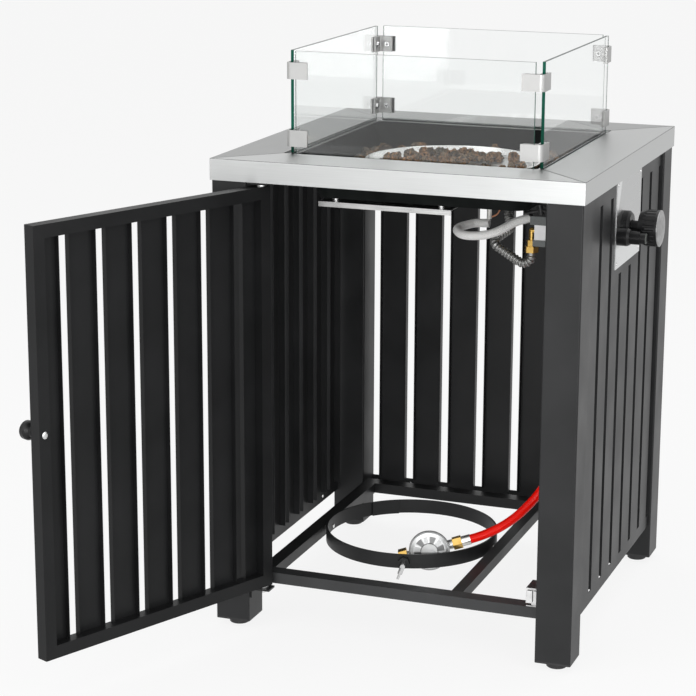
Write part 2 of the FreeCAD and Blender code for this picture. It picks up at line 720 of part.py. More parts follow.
def channel(x0, x1, y0, depth, sheet, z0, z1, left_flange=True, right_flange=True):
    """Upright slat: web at y0, flanges towards +Y."""
    slat = block(x0, x1, y0, y0 + sheet, z0, z1)
    if left_flange:
        slat = slat.fuse(block(x0, x0 + sheet, y0, y0 + depth, z0, z1))
    if right_flange:
        slat = slat.fuse(block(x1 - sheet, x1, y0, y0 + depth, z0, z1))
    return slat.removeSplitter()


def make_door_slats():
    web = DOOR_FACE + DOOR_SLAT_RECESS
    low = DOOR_BOTTOM + DOOR_TUBE
    high = DOOR_TOP - DOOR_TUBE
    pitch = DOOR_SLAT_WIDTH + DOOR_SLOT
    first = -pitch * (DOOR_SLAT_COUNT - 1) / 2
    slats = []
    for i in range(DOOR_SLAT_COUNT):
        centre = first + i * pitch
        slats.append(channel(centre - DOOR_SLAT_WIDTH / 2, centre + DOOR_SLAT_WIDTH / 2, web,
                             DOOR_SLAT_FLANGE, DOOR_WALL, low, high))
    stile = DOOR_HALF - DOOR_TUBE
    edge = -first + DOOR_SLAT_WIDTH / 2 + DOOR_SLOT
    slats.append(channel(edge, stile, web, DOOR_SLAT_FLANGE, DOOR_WALL, low, high, right_flange=False))
    slats.append(channel(-stile, -edge, web, DOOR_SLAT_FLANGE, DOOR_WALL, low, high, left_flange=False))
    return group([opened(slat) for slat in slats])


def make_door_handle():
    head = HANDLE_DIAMETER / 2
    waist = head * 0.6
    outline = [(0, 0), (waist + 1.5, 0), (waist, 4), (waist, 9), (head - 1.5, HANDLE_LENGTH * 0.5),
               (head, HANDLE_LENGTH * 0.6), (head, HANDLE_LENGTH - 3), (head - 3, HANDLE_LENGTH),
               (0, HANDLE_LENGTH)]
    seat = Vector(DOOR_HALF - DOOR_TUBE / 2, DOOR_FACE, HANDLE_HEIGHT)
    return opened(turned(outline, seat, Vector(0, -1, 0)))


def make_door_pins():
    radius = PIN_DIAMETER / 2
    collar = COLLAR_DIAMETER / 2
    length = TAB_GAP + TAB_THICKNESS + 6
    outline = [(0, 0), (collar, 0), (collar, TAB_GAP - REST_GAP), (radius, TAB_GAP - REST_GAP),
               (radius, length - 1), (radius - 1, length), (0, length)]
    lower = turned(outline, Vector(PIVOT_X, PIVOT_Y, DOOR_BOTTOM), DOWN)
    top_gap = TAB_GAP - 1
    outline = [(0, 0), (collar, 0), (collar, top_gap - REST_GAP), (radius, top_gap - REST_GAP),
               (radius, top_gap + TAB_THICKNESS + 2), (0, top_gap + TAB_THICKNESS + 2)]
    upper = turned(outline, Vector(PIVOT_X, PIVOT_Y, DOOR_TOP), UP)
    head = HANDLE_SCREW_DIAMETER / 2
    outline = [(0, 0), (head, 0), (head, 1), (head * 0.6, 2.2), (0, 2.6)]
    screw = turned(outline, Vector(DOOR_HALF - DOOR_TUBE / 2, DOOR_INSIDE, HANDLE_HEIGHT), Vector(0, 1, 0))
    return group([opened(lower), opened(upper), opened(screw)])


def make_hinge_brackets():
    y0 = PIVOT_Y - TAB_WIDTH / 2
    y1 = PIVOT_Y + TAB_WIDTH / 2
    brackets = []
    for z, away in ((DOOR_BOTTOM - TAB_GAP - TAB_THICKNESS, -1), (DOOR_TOP + TAB_GAP - 1, 1)):
        tab = block(-BAY, -BAY + TAB_REACH, y0, y1, z, z + TAB_THICKNESS)
        foot_bottom = z - TAB_FOOT if away < 0 else z
        foot = block(-BAY, -BAY + TAB_THICKNESS, y0, y1, foot_bottom, foot_bottom + TAB_FOOT + TAB_THICKNESS)
        bore = rod(PIN_DIAMETER + 2 * PIN_FIT, Vector(PIVOT_X, PIVOT_Y, z - 1),
                   Vector(PIVOT_X, PIVOT_Y, z + TAB_THICKNESS + 1))
        brackets.append(tab.fuse(foot).cut(bore).removeSplitter())
    return group(brackets)


def make_magnet_catch():
    x1 = BAY - 0.5
    x0 = x1 - CATCH_WIDTH
    front = DOOR_INSIDE + CATCH_GAP
    case_front = front + CATCH_POLE
    top = CATCH_BOTTOM + CATCH_HEIGHT
    case = block(x0, x1, case_front, case_front + CATCH_CASE, CATCH_BOTTOM, top)
    poles = [block(x0 + 3 + i * 10, x0 + 11 + i * 10, front, case_front, CATCH_BOTTOM + 3, top - 3)
             for i in range(2)]
    rail_front = -BAY - END_RAIL_DEPTH
    foot = block(x0, x1, rail_front + 2, -BAY - 2, RAIL_TOP, RAIL_TOP + BEAM_WALL)
    web = block(x0 + 8, x1 - 8, rail_front + 4, -BAY - 4, RAIL_TOP, CATCH_BOTTOM)
    return group([case, foot.fuse(web).removeSplitter()] + poles)


# Burner

def make_pan():
    top = LEDGE_UNDER
    outer_top = LEDGE_HALF + PAN_SHEET
    outer = Part.makeLoft([rounded_outline(PAN_FLOOR_HALF + PAN_SHEET, PAN_CORNER, PAN_FLOOR),
                           rounded_outline(outer_top, PAN_CORNER, top)], True, True)
    inner = Part.makeLoft([rounded_outline(PAN_FLOOR_HALF, PAN_INSIDE_CORNER, PAN_INSIDE_FLOOR),
                           rounded_outline(LEDGE_HALF, PAN_INSIDE_CORNER, top)], True, True)
    flange_half = LEDGE_HALF + PAN_FLANGE
    flange = block(-flange_half, flange_half, -flange_half, flange_half, top - PAN_SHEET, top)
    hole = rod(INLET_TUBE + 2 * INLET_HOLE_FIT, inlet_point(PAN_FLOOR - 1), inlet_point(PAN_INSIDE_FLOOR + 1))
    return outer.fuse(flange).cut([inner, hole]).removeSplitter()


def inlet_point(z):
    turn = math.radians(INLET_ANGLE)
    return Vector(BURNER_DIAMETER / 2 * math.cos(turn), BURNER_DIAMETER / 2 * math.sin(turn), z)


def bowl_radius(height):
    """Inside radius of the bowl at a height above its inner floor."""
    floor = BOWL_FLOOR_DIAMETER / 2 - BOWL_SHEET
    return floor + (BOWL_DIAMETER - BOWL_FLOOR_DIAMETER) / 2 * height / (BOWL_DEPTH - BOWL_SHEET)


def make_bowl():
    base = PAN_INSIDE_FLOOR
    inner_floor = BOWL_FLOOR_DIAMETER / 2 - BOWL_SHEET
    inner_top = BOWL_DIAMETER / 2 - BOWL_SHEET
    rim = BOWL_RIM
    outline = [(0, 0), (BOWL_FLOOR_DIAMETER / 2, 0), (BOWL_DIAMETER / 2, BOWL_DEPTH - BOWL_BEAD),
               (rim, BOWL_DEPTH - BOWL_BEAD * 0.8), (rim, BOWL_DEPTH - BOWL_BEAD * 0.2),
               (rim - BOWL_BEAD * 0.3, BOWL_DEPTH), (inner_top + 0.4, BOWL_DEPTH),
               (inner_top, BOWL_DEPTH - 1), (inner_floor, BOWL_SHEET), (0, BOWL_SHEET)]
    bowl = turned(outline, Vector(0, 0, base), UP)
    hole = rod(INLET_TUBE + 2 * INLET_HOLE_FIT, inlet_point(base - 1), inlet_point(base + BOWL_SHEET + 1))
    return bowl.cut(hole)


def make_burner_plate():
    height = PLATE_RISE - BOWL_SHEET
    radius = bowl_radius(height) - REST_GAP
    z0 = PLATE_BOTTOM
    z1 = z0 + PLATE_SHEET
    plate = rod(2 * radius, Vector(0, 0, z0), Vector(0, 0, z1))
    holes = []
    for row in range(PLATE_HOLE_ROWS):
        row_radius = radius - PLATE_HOLE - row * PLATE_HOLE * 1.8
        count = int(2 * math.pi * row_radius / PLATE_HOLE_PITCH)
        for i in range(count):
            turn = 2 * math.pi * (i + 0.5 * row) / count
            centre = Vector(row_radius * math.cos(turn), row_radius * math.sin(turn), z0 - 1)
            holes.append(hexagon(PLATE_HOLE, centre, centre + UP * (PLATE_SHEET + 2)))
    return plate.cut(holes)


def make_burner_tube():
    centre_z = PAN_INSIDE_FLOOR + BOWL_SHEET + BURNER_RISE + BURNER_TUBE / 2
    turns = [2 * math.pi * (i + 0.5) / BURNER_TUBE_SIDES for i in range(BURNER_TUBE_SIDES)]
    section = [((BURNER_DIAMETER + BURNER_TUBE * math.cos(turn)) / 2, BURNER_TUBE * math.sin(turn) / 2)
               for turn in turns]
    ring = turned(section, UP * centre_z, UP)
    stub = rod(INLET_TUBE, inlet_point(PAN_FLOOR - COUPLING_DEPTH), inlet_point(centre_z))
    turn = math.radians(INLET_ANGLE)
    across = Vector(math.cos(turn), math.sin(turn), 0) * (BURNER_DIAMETER / 2)
    level = UP * centre_z
    cross = rod(BURNER_CROSS, across * -1 + level, across + level)
    return ring.fuse([stub, cross]).removeSplitter()


def make_inlet_coupling():
    top = inlet_point(PAN_FLOOR)
    bottom = inlet_point(PAN_FLOOR - COUPLING_LENGTH)
    body = hexagon(COUPLING_FLATS, bottom, top)
    socket = rod(INLET_TUBE + 2 * STEM_FIT, inlet_point(PAN_FLOOR - COUPLING_DEPTH), top + UP)
    return body.cut(socket)


def make_rock(x, y, z, width, height, seed):
    """Lump with a flat bottom and top and seven uneven sides."""
    levels = ((0.0, 0.62), (0.42, 1.0), (0.78, 0.86), (1.0, 0.5))
    rings = []
    for number, (rise, share) in enumerate(levels):
        ring = []
        for i in range(ROCK_SIDES):
            turn = 2 * math.pi * i / ROCK_SIDES + seed
            wobble = 1 + 0.16 * math.sin(3.7 * i + 5.1 * seed + 1.3 * number)
            lift = 0 if number in (0, 3) else 0.05 * height * math.sin(2.9 * i + seed)
            reach = width / 2 * share * min(wobble, 1.1)
            ring.append(Vector(x + reach * math.cos(turn), y + reach * math.sin(turn),
                               z + rise * height + lift))
        rings.append(ring)
    faces = [Part.Face(Part.makePolygon(rings[0] + rings[0][:1])),
             Part.Face(Part.makePolygon(rings[-1] + rings[-1][:1]))]
    for low, high in zip(rings, rings[1:]):
        for i in range(ROCK_SIDES):
            j = (i + 1) % ROCK_SIDES
            faces.append(Part.Face(Part.makePolygon([low[i], low[j], high[j], low[i]])))
            faces.append(Part.Face(Part.makePolygon([low[i], high[j], high[i], low[i]])))
    solid = Part.Solid(Part.Shell(faces))
    if solid.Volume < 0:
        solid.reverse()
    return solid


def make_rocks():
    rocks = []
    plate_top = PLATE_BOTTOM + PLATE_SHEET
    bed = bowl_radius(PLATE_RISE) - ROCK_WIDTH / 2 - ROCK_EDGE_GAP
    for i in range(ROCKS_OUTER):
        turn = 2 * math.pi * i / ROCKS_OUTER
        rocks.append(make_rock(bed * math.cos(turn), bed * math.sin(turn), plate_top, ROCK_WIDTH,
                               ROCK_HEIGHT - 2 * (i % 3), 0.7 * i))
    for i in range(ROCKS_INNER):
        turn = 2 * math.pi * (i + 0.5) / ROCKS_INNER
        rocks.append(make_rock(bed / 2 * math.cos(turn), bed / 2 * math.sin(turn), plate_top,
                               ROCK_WIDTH, ROCK_HEIGHT - 2 * (i % 2), 1.1 * i + 0.4))
    rocks.append(make_rock(0, 0, plate_top, ROCK_WIDTH, ROCK_HEIGHT, 2.2))
    for i in range(4):
        x_sign = 1 if i in (0, 3) else -1
        y_sign = 1 if i < 2 else -1
        for layer in range(CORNER_ROCK_LAYERS):
            rocks.append(make_rock(x_sign * CORNER_ROCK_PLACE, y_sign * CORNER_ROCK_PLACE,
                                   PAN_INSIDE_FLOOR + layer * CORNER_ROCK_HEIGHT,
                                   CORNER_ROCK_WIDTH - 4 * layer, CORNER_ROCK_HEIGHT, 0.9 * i + layer))
    return group(rocks)


def make_shield():
    z1 = PAN_FLOOR - SHIELD_DROP
    z0 = z1 - SHIELD_SHEET
    half = SHIELD_DEPTH / 2
    plate = block(SHIELD_LEFT, SHIELD_RIGHT, -half, half, z0, z1)
    lips = [block(SHIELD_LEFT, SHIELD_RIGHT, -half, -half + SHIELD_SHEET, z0 - SHIELD_LIP, z0),
            block(SHIELD_LEFT, SHIELD_RIGHT, half - SHIELD_SHEET, half, z0 - SHIELD_LIP, z0)]
    return plate.fuse(lips).removeSplitter()


def make_shield_studs():
    half = SHIELD_DEPTH / 2 - STUD_INSET
    z1 = PAN_FLOOR
    z0 = z1 - SHIELD_DROP
    studs = []
    for x in (SHIELD_LEFT + STUD_INSET, SHIELD_RIGHT - STUD_INSET):
        for y in (-half, half):
            studs.append(sleeve(2 * STUD_DIAMETER, STUD_DIAMETER, Vector(x, y, z0), Vector(x, y, z1)))
            studs.append(hexagon(STUD_DIAMETER * 1.7, Vector(x, y, z0 - SHIELD_SHEET - 4),
                                 Vector(x, y, z0 - SHIELD_SHEET)))
    return group(studs)


# Control plate, knob and igniter

def on_plate(y, z, out=0.0):
    return Vector(PLATE_FACE + out, y, z)


def make_control_plate():
    plate = block(PANEL_FACE, PLATE_FACE, CONTROL_PLATE_FRONT, CONTROL_PLATE_BACK,
                  CONTROL_PLATE_BOTTOM, CONTROL_PLATE_TOP)
    neck_hole = NECK_DIAMETER + 2 * NECK_FIT
    holes = [rod(neck_hole, on_plate(VALVE_Y, VALVE_Z, -5), on_plate(VALVE_Y, VALVE_Z, 5)),
             rod(IGNITER_BARREL_DIAMETER + 2 * BARREL_FIT, on_plate(IGNITER_Y, IGNITER_Z, -5),
                 on_plate(IGNITER_Y, IGNITER_Z, 5))]
    return plate.cut(holes)


def make_plate_rivets():
    radius = RIVET_DIAMETER / 2
    outline = [(0, 0), (radius, 0), (radius * 0.8, 1.0), (radius * 0.4, 1.5), (0, 1.6)]
    rivets = []
    for y in (CONTROL_PLATE_FRONT + RIVET_INSET, CONTROL_PLATE_BACK - RIVET_INSET):
        for z in (CONTROL_PLATE_BOTTOM + RIVET_INSET, CONTROL_PLATE_TOP - RIVET_INSET):
            rivets.append(turned(outline, on_plate(y, z), OUT))
    return group(rivets)


def make_bezel():
    outer = BEZEL_DIAMETER / 2
    bore = NECK_DIAMETER / 2 + NECK_FIT
    outline = [(bore, 0), (outer, 0), (outer, BEZEL_HEIGHT - 4), (outer - 4, BEZEL_HEIGHT),
               (bore, BEZEL_HEIGHT)]
    return turned(outline, on_plate(VALVE_Y, VALVE_Z), OUT)


def make_valve_stem():
    radius = STEM_DIAMETER / 2
    neck = NECK_DIAMETER / 2
    knob_back = KNOB_STANDOFF - REST_GAP
    neck_start = KNOB_PUSH + 1.0
    end = KNOB_STANDOFF + KNOB_SOCKET - 0.5
    outline = [(0, -STEM_DEPTH), (radius, -STEM_DEPTH), (radius, neck_start), (neck, neck_start),
               (neck, knob_back), (radius, knob_back), (radius, end), (0, end)]
    return turned(outline, on_plate(VALVE_Y, VALVE_Z), OUT)


def make_knob():
    outer = KNOB_DIAMETER / 2
    rear = outer - KNOB_TAPER
    outline = [(0, 0), (rear, 0), (outer, KNOB_TAPER_HEIGHT), (outer, KNOB_HEIGHT), (0, KNOB_HEIGHT)]
    back = on_plate(VALVE_Y, VALVE_Z, KNOB_STANDOFF)
    knob = turned(outline, back, OUT)
    flutes = []
    for i in range(KNOB_FLUTES):
        turn = 2 * math.pi * i / KNOB_FLUTES
        reach = outer + KNOB_FLUTE * 0.35
        side = Vector(0, reach * math.cos(turn), reach * math.sin(turn))
        flutes.append(rod(KNOB_FLUTE * 2, back - OUT + side, back + OUT * (KNOB_HEIGHT - 4) + side))
    socket = rod(STEM_DIAMETER + 2 * STEM_FIT, back - OUT, back + OUT * KNOB_SOCKET)
    return knob.cut(flutes + [socket])


def make_knob_cap():
    outer = KNOB_DIAMETER / 2
    outline = [(0, 0), (outer, 0), (outer, 1.0), (outer * 0.9, KNOB_CAP_HEIGHT * 0.6),
               (outer * 0.6, KNOB_CAP_HEIGHT * 0.9), (0, KNOB_CAP_HEIGHT)]
    return turned(outline, on_plate(VALVE_Y, VALVE_Z, KNOB_STANDOFF + KNOB_HEIGHT), OUT)


def make_igniter_body():
    nut = IGNITER_NUT_DIAMETER / 2
    collar = IGNITER_COLLAR_DIAMETER / 2
    barrel = IGNITER_BARREL_DIAMETER / 2
    bore = BUTTON_DIAMETER / 2 + BUTTON_FIT
    top = IGNITER_NUT_LENGTH + IGNITER_COLLAR_LENGTH
    floor = top - BUTTON_SEAT - BUTTON_PUSH - 1.0
    outline = [(0, -IGNITER_BARREL_LENGTH), (barrel, -IGNITER_BARREL_LENGTH), (barrel, 0), (nut, 0),
               (nut, IGNITER_NUT_LENGTH - 4), (nut - 2, IGNITER_NUT_LENGTH), (collar, IGNITER_NUT_LENGTH),
               (collar, top), (bore, top), (bore, floor), (0, floor)]
    return turned(outline, on_plate(IGNITER_Y, IGNITER_Z), OUT)


def make_button():
    radius = BUTTON_DIAMETER / 2
    top = IGNITER_NUT_LENGTH + IGNITER_COLLAR_LENGTH
    outline = [(0, top - BUTTON_SEAT), (radius, top - BUTTON_SEAT), (radius, top + BUTTON_STANDS - 2),
               (radius - 2, top + BUTTON_STANDS), (0, top + BUTTON_STANDS)]
    return turned(outline, on_plate(IGNITER_Y, IGNITER_Z), OUT)


# Valve and pipework

def make_gas_valve():
    half = VALVE_BLOCK_WIDTH / 2
    front = Vector(VALVE_FRONT, VALVE_Y, VALVE_Z)
    back = front - OUT * VALVE_BODY_LENGTH
    body = rod(VALVE_BODY_DIAMETER, back, front)
    slab = block(VALVE_BLOCK_LEFT, VALVE_FRONT - 20, VALVE_Y - half, VALVE_Y + half,
                 VALVE_BLOCK_BOTTOM, VALVE_BLOCK_TOP)
    stem_bore = rod(STEM_DIAMETER + 2 * STEM_FIT, Vector(STEM_END - KNOB_PUSH - 2, VALVE_Y, VALVE_Z),
                    front + OUT)
    return body.fuse(slab).cut(stem_bore).removeSplitter()


def make_valve_bracket():
    """Two arms that hold the valve block from above and below, on a flange behind the panel."""
    y0 = VALVE_Y - VALVE_BLOCK_WIDTH / 2 - BRACKET_MARGIN
    y1 = VALVE_Y + VALVE_BLOCK_WIDTH / 2 + BRACKET_MARGIN
    low_left = BRACKET_LEFT + BRACKET_STEP
    right = PANEL_BACK
    above = VALVE_BLOCK_TOP
    below = VALVE_BLOCK_BOTTOM
    front_lip = block(BRACKET_LEFT, right, y0, y0 + BRACKET_SHEET, above, above + BRACKET_TOP_LIP)
    top_arm = block(BRACKET_LEFT, right, y0, y1, above, above + BRACKET_SHEET)
    low_arm = block(low_left, right, y0, y1, below - BRACKET_SHEET, below)
    low_lip = block(low_left, right, y0, y0 + BRACKET_SHEET, below - BRACKET_LOW_LIP, below)
    flange = block(right - BRACKET_SHEET, right, y0 - 6, y1 + 6, CONTROL_PLATE_BOTTOM + 2,
                   CONTROL_PLATE_TOP - 2)
    front = Vector(VALVE_FRONT, VALVE_Y, VALVE_Z)
    clear = rod(VALVE_BODY_DIAMETER + 0.4, front - OUT * (VALVE_BODY_LENGTH + 0.2), front + OUT * 20)
    barrel_start = Vector(PLATE_FACE - IGNITER_BARREL_LENGTH - 5, IGNITER_Y, IGNITER_Z)
    barrel = rod(IGNITER_BARREL_DIAMETER + 2 * BARREL_FIT, barrel_start, on_plate(IGNITER_Y, IGNITER_Z))
    hose_nut = rod(HOSE_NUT_FLATS * 1.3, Vector(HOSE_VALVE_X, VALVE_Y, below - 30),
                   Vector(HOSE_VALVE_X, VALVE_Y, below))
    bracket = top_arm.fuse([front_lip, low_arm, low_lip, flange])
    return bracket.cut([clear, barrel, hose_nut]).removeSplitter()


def make_outlet():
    """Brass elbow out of the valve block, pointing down, and its flare nut."""
    corner = Vector(OUTLET_X, OUTLET_Y, OUTLET_Z)
    spigot = rod(OUTLET_DIAMETER, Vector(VALVE_BLOCK_LEFT, OUTLET_Y, OUTLET_Z), corner)
    ball = Part.makeSphere(OUTLET_DIAMETER / 2, corner)
    nut_top = Vector(OUTLET_X, OUTLET_Y, OUTLET_NUT_BOTTOM + OUTLET_NUT_LENGTH)
    drop = rod(OUTLET_DIAMETER, nut_top, corner)
    elbow_hex = hexagon(OUTLET_HEX_FLATS, nut_top, nut_top + UP * OUTLET_HEX_LENGTH)
    elbow = spigot.fuse([ball, drop, elbow_hex]).removeSplitter()
    nut_bottom = Vector(OUTLET_X, OUTLET_Y, OUTLET_NUT_BOTTOM)
    nut = hexagon(OUTLET_NUT_FLATS, nut_bottom, nut_top)
    bore = PIPE_DIAMETER - 2 * PIPE_RIB_DEPTH + 2 * STEM_FIT
    return group([elbow, nut.cut(rod(bore, nut_bottom + DOWN, nut_top))])


def make_flexible_pipe():
    """Corrugated pipe from inside the flare nut, round under the valve, up to the burner inlet."""
    end = inlet_point(PAN_FLOOR - COUPLING_LENGTH)
    start = Vector(OUTLET_X, OUTLET_Y, OUTLET_NUT_BOTTOM + OUTLET_NUT_LENGTH)
    points = [start] + [start + Vector(*step) for step in PIPE_ROUTE] + [end + DOWN * PIPE_RISE, end]
    return ribbed_tube("flexible_pipe", points, Vector(0.6, -0.5, 0.62), 0.45)


def make_sleeve():
    """Glass-fibre sleeve from the valve bracket, round in a loop, to under the electrode."""
    valve_end = Vector(BRACKET_LEFT - 2.6, VALVE_Y + 2, VALVE_Z + 2)
    valve_bend = Vector(BRACKET_LEFT - 25, VALVE_Y - 5, VALVE_Z - 4)
    loop = [ELECTRODE_FOOT + Vector(*step) for step in SLEEVE_ROUTE]
    seat = ELECTRODE_FOOT + DOWN * (SLEEVE_DIAMETER / 2 + REST_GAP)
    return round_tube("insulating_sleeve", [valve_end, valve_bend] + loop + [seat], SLEEVE_DIAMETER)


def make_electrode():
    return rod(ELECTRODE_DIAMETER, ELECTRODE_FOOT, ELECTRODE_FOOT + UP * ELECTRODE_LENGTH)


def make_thermocouple():
    side = ELECTRODE_FOOT + OUT * (ELECTRODE_DIAMETER / 2 + WIRE_DIAMETER / 4)
    points = [side + OUT * out + UP * up for out, up in WIRE_ROUTE]
    points.append(side + OUT * WIRE_ROUTE[-1][0] + UP * ELECTRODE_LENGTH)
    return round_tube("thermocouple_lead", points, WIRE_DIAMETER)


# Regulator and hose

def regulator_axes():
    turn = math.radians(REGULATOR_TURN)
    lean = math.radians(REGULATOR_LEAN)
    facing = Vector(math.sin(turn), -math.cos(turn), 0)
    across = Vector(math.cos(turn), math.sin(turn), 0)
    ports = across * math.cos(lean) + UP * math.sin(lean)
    return ports, facing.cross(ports), facing


def at_regulator(shape):
    """Move a shape from the regulator's own axes (ports along X, face towards +Z) to its place."""
    ports, side, facing = regulator_axes()
    centre = REGULATOR_CENTRE
    matrix = FreeCAD.Matrix(ports.x, side.x, facing.x, centre.x, ports.y, side.y, facing.y, centre.y,
                            ports.z, side.z, facing.z, centre.z, 0, 0, 0, 1)
    moved = shape.copy()
    moved.Placement = FreeCAD.Placement(matrix).multiply(moved.Placement)
    return moved


def make_regulator_body():
    outer = REGULATOR_DIAMETER / 2
    joint = REGULATOR_FRONT - REGULATOR_CRIMP
    centre = Vector(0, REGULATOR_OFFSET, 0)
    outline = [(0, -REGULATOR_BACK), (outer * 0.5, -REGULATOR_BACK), (outer * 0.76, -REGULATOR_BACK * 0.6),
               (outer * 0.86, 0), (outer * 0.9, joint - 2), (outer - 1, joint - 1.5), (outer - 1, joint),
               (0, joint)]
    bowl = turned(outline, centre, UP)
    ports = rod(REGULATOR_PORT, OUT * (INLET_SEAT - REGULATOR_REACH), OUT * REGULATOR_REACH)
    return at_regulator(bowl.fuse(ports).removeSplitter())


def make_regulator_cover():
    outer = REGULATOR_DIAMETER / 2
    joint = REGULATOR_FRONT - REGULATOR_CRIMP
    crest = REGULATOR_FRONT + REGULATOR_DOME
    centre = Vector(0, REGULATOR_OFFSET, 0)
    outline = [(0, joint), (outer, joint), (outer, REGULATOR_FRONT), (outer - 3, REGULATOR_FRONT),
               (outer * 0.8, REGULATOR_FRONT + 1.5), (outer * 0.42, crest - 1.5), (outer * 0.4, crest),
               (0, crest)]
    cover = turned(outline, centre, UP)
    ribs = []
    for i in range(REGULATOR_RIBS):
        rib = block(outer * 0.38, outer * 0.74, -3.0, 3.0, REGULATOR_FRONT, crest - 0.5)
        ribs.append(about_z(rib, 360 / REGULATOR_RIBS * (i + 0.5)))
    raised = ribs[0].fuse(ribs[1:])
    raised.translate(centre)
    return at_regulator(cover.fuse(raised).removeSplitter())


def make_regulator_nut():
    start = OUT * (INLET_SEAT - REGULATOR_REACH)
    end = start - OUT * INLET_NUT_LENGTH
    mouth = end + OUT * INLET_BORE_DEPTH
    nut = hexagon(INLET_NUT_FLATS, start, end)
    return at_regulator(nut.cut(rod(INLET_BORE, end - OUT, mouth)))


def hose_points():
    ports = regulator_axes()[0]
    start = REGULATOR_CENTRE + ports * HOSE_START
    end = Vector(HOSE_VALVE_X, VALVE_Y, HOSE_TOP)
    rise = end.z - start.z
    middle = [Vector(end.x + dx, end.y + dy, start.z + share * rise) for dx, dy, share in HOSE_ROUTE]
    return [start, start + ports * HOSE_STRAIGHT_LOW] + middle + [end + DOWN * HOSE_STRAIGHT_HIGH, end]


def make_hose():
    return round_tube("gas_hose", hose_points(), HOSE_DIAMETER)


def make_hose_fittings():
    """A nut and a crimped ferrule at each end of the hose."""
    low = OUT * REGULATOR_REACH
    low_seam = low + OUT * HOSE_NUT_LENGTH
    top = Vector(HOSE_VALVE_X, VALVE_Y, VALVE_BLOCK_BOTTOM)
    top_seam = top + DOWN * HOSE_NUT_LENGTH
    return group([at_regulator(hexagon(HOSE_NUT_FLATS, low, low_seam)),
                  at_regulator(rod(FERRULE_DIAMETER, low_seam, low_seam + OUT * FERRULE_LENGTH)),
                  hexagon(HOSE_NUT_FLATS, top_seam, top),
                  rod(FERRULE_DIAMETER, top_seam + DOWN * FERRULE_LENGTH, top_seam)])


# Wind guard

def make_glass():
    half = GLASS_LENGTH / 2
    pane = block(-half, half, -GLASS_FACE, -GLASS_BACK, GLASS_BOTTOM, GLASS_BOTTOM + GLASS_HEIGHT)
    holes = []
    for u in (-clip_screw_place(), clip_screw_place()):
        for z in clip_heights():
            holes.append(rod(CLIP_SCREW_DIAMETER + 2 * GLASS_HOLE_FIT, Vector(u, -GLASS_FACE - 1, z),
                             Vector(u, -GLASS_BACK + 1, z)))
    return pane.cut(holes)


def clip_screw_place():
    """Half way between the end of a pane and the end of the inner plates' legs."""
    return (GLASS_LENGTH / 2 + GLASS_BACK - CLIP_INNER_LEG) / 2


def clip_heights():
    return [GLASS_BOTTOM + low + CLIP_HEIGHT / 2 for low in (CLIP_LOW, CLIP_HIGH)]


def corner_plates(outer, radius, leg):
    """Bent corner plates at the four corners and two heights, each an L of constant thickness."""
    plates = []
    for z in clip_heights():
        z0 = z - CLIP_HEIGHT / 2
        z1 = z + CLIP_HEIGHT / 2
        frame = rounded_block(outer, radius, z0, z1)
        frame = frame.cut(rounded_block(outer - CLIP_PLATE, max(radius - CLIP_PLATE, 1), z0 - 1, z1 + 1))
        corner = block(-outer - 1, -outer + leg, -outer - 1, -outer + leg, z0 - 1, z1 + 1)
        plates += four_sides(frame.common(corner))
    return plates


def clip_screw_line(z):
    """The two screw axes of the front left corner at one height, each as a point and a way out."""
    place = clip_screw_place()
    return [(Vector(-place, -GLASS_BACK, z), Vector(0, -1, 0)),
            (Vector(-GLASS_BACK, -place, z), Vector(-1, 0, 0))]


def drilled(plates, depth_in, depth_out):
    holes = []
    for z in clip_heights():
        for point, way in clip_screw_line(z):
            holes += four_sides(rod(CLIP_SCREW_DIAMETER + 2 * CLIP_SCREW_FIT, point + way * depth_in,
                                    point + way * depth_out))
    return [plate.cut(holes) for plate in plates]


def make_clip_outer_plates():
    plates = corner_plates(GLASS_FACE + CLIP_PLATE, CLIP_OUTER_ROUND, CLIP_OUTER_LEG)
    return group(drilled(plates, GLASS_THICKNESS - 1, GLASS_THICKNESS + CLIP_PLATE - 1))


def make_clip_inner_plates():
    plates = corner_plates(GLASS_BACK, CLIP_INNER_ROUND, CLIP_INNER_LEG)
    return group(drilled(plates, -CLIP_PLATE - 1, 1))


def make_clip_screws():
    head = CLIP_SCREW_HEAD / 2
    shank = CLIP_SCREW_DIAMETER / 2
    length = CLIP_PLATE + GLASS_THICKNESS + CLIP_PLATE - 1.2
    outline = [(0, -CLIP_HEAD_HEIGHT), (head * 0.8, -CLIP_HEAD_HEIGHT), (head, 0), (shank, 0),
               (shank, length), (0, length)]
    screws = []
    for z in clip_heights():
        for point, way in clip_screw_line(z):
            screws += four_sides(turned(outline, point - way * CLIP_PLATE, way))
    return group(screws)


# Small fasteners of the frame

def make_frame_screws():
    head = SCREW_HEAD_DIAMETER / 2
    outline = [(0, 0), (head, 0), (head * 0.8, SCREW_HEAD_HEIGHT * 0.7), (0, SCREW_HEAD_HEIGHT)]
    middle = (PANEL_BOTTOM + SLOT_BOTTOM) / 2
    pitch = SLAT_WIDTH + SLOT_WIDTH
    screws = []
    for turn in (0, 90, -90):
        for u in (-2.5 * pitch, 2.5 * pitch):
            screws.append(about_z(turned(outline, Vector(u, PANEL_BACK, middle), Vector(0, -1, 0)), turn))
    spacer_z = (RING_BOTTOM + RAIL_TOP) / 2
    for rail, side in ((LEFT_RAIL_INSIDE, -1), (CROSS_RAIL_LEFT, 1)):
        start = Vector(rail, RING_BACK, spacer_z)
        end = Vector(RING_X + side * RING_OUTER, RING_BACK, spacer_z)
        screws.append(rod(SPACER_DIAMETER, start, end))
        inside = Vector(RING_X + side * (RING_INNER - REST_GAP), RING_BACK, spacer_z)
        screws.append(turned(outline, inside, OUT * -side))
    return group(screws)


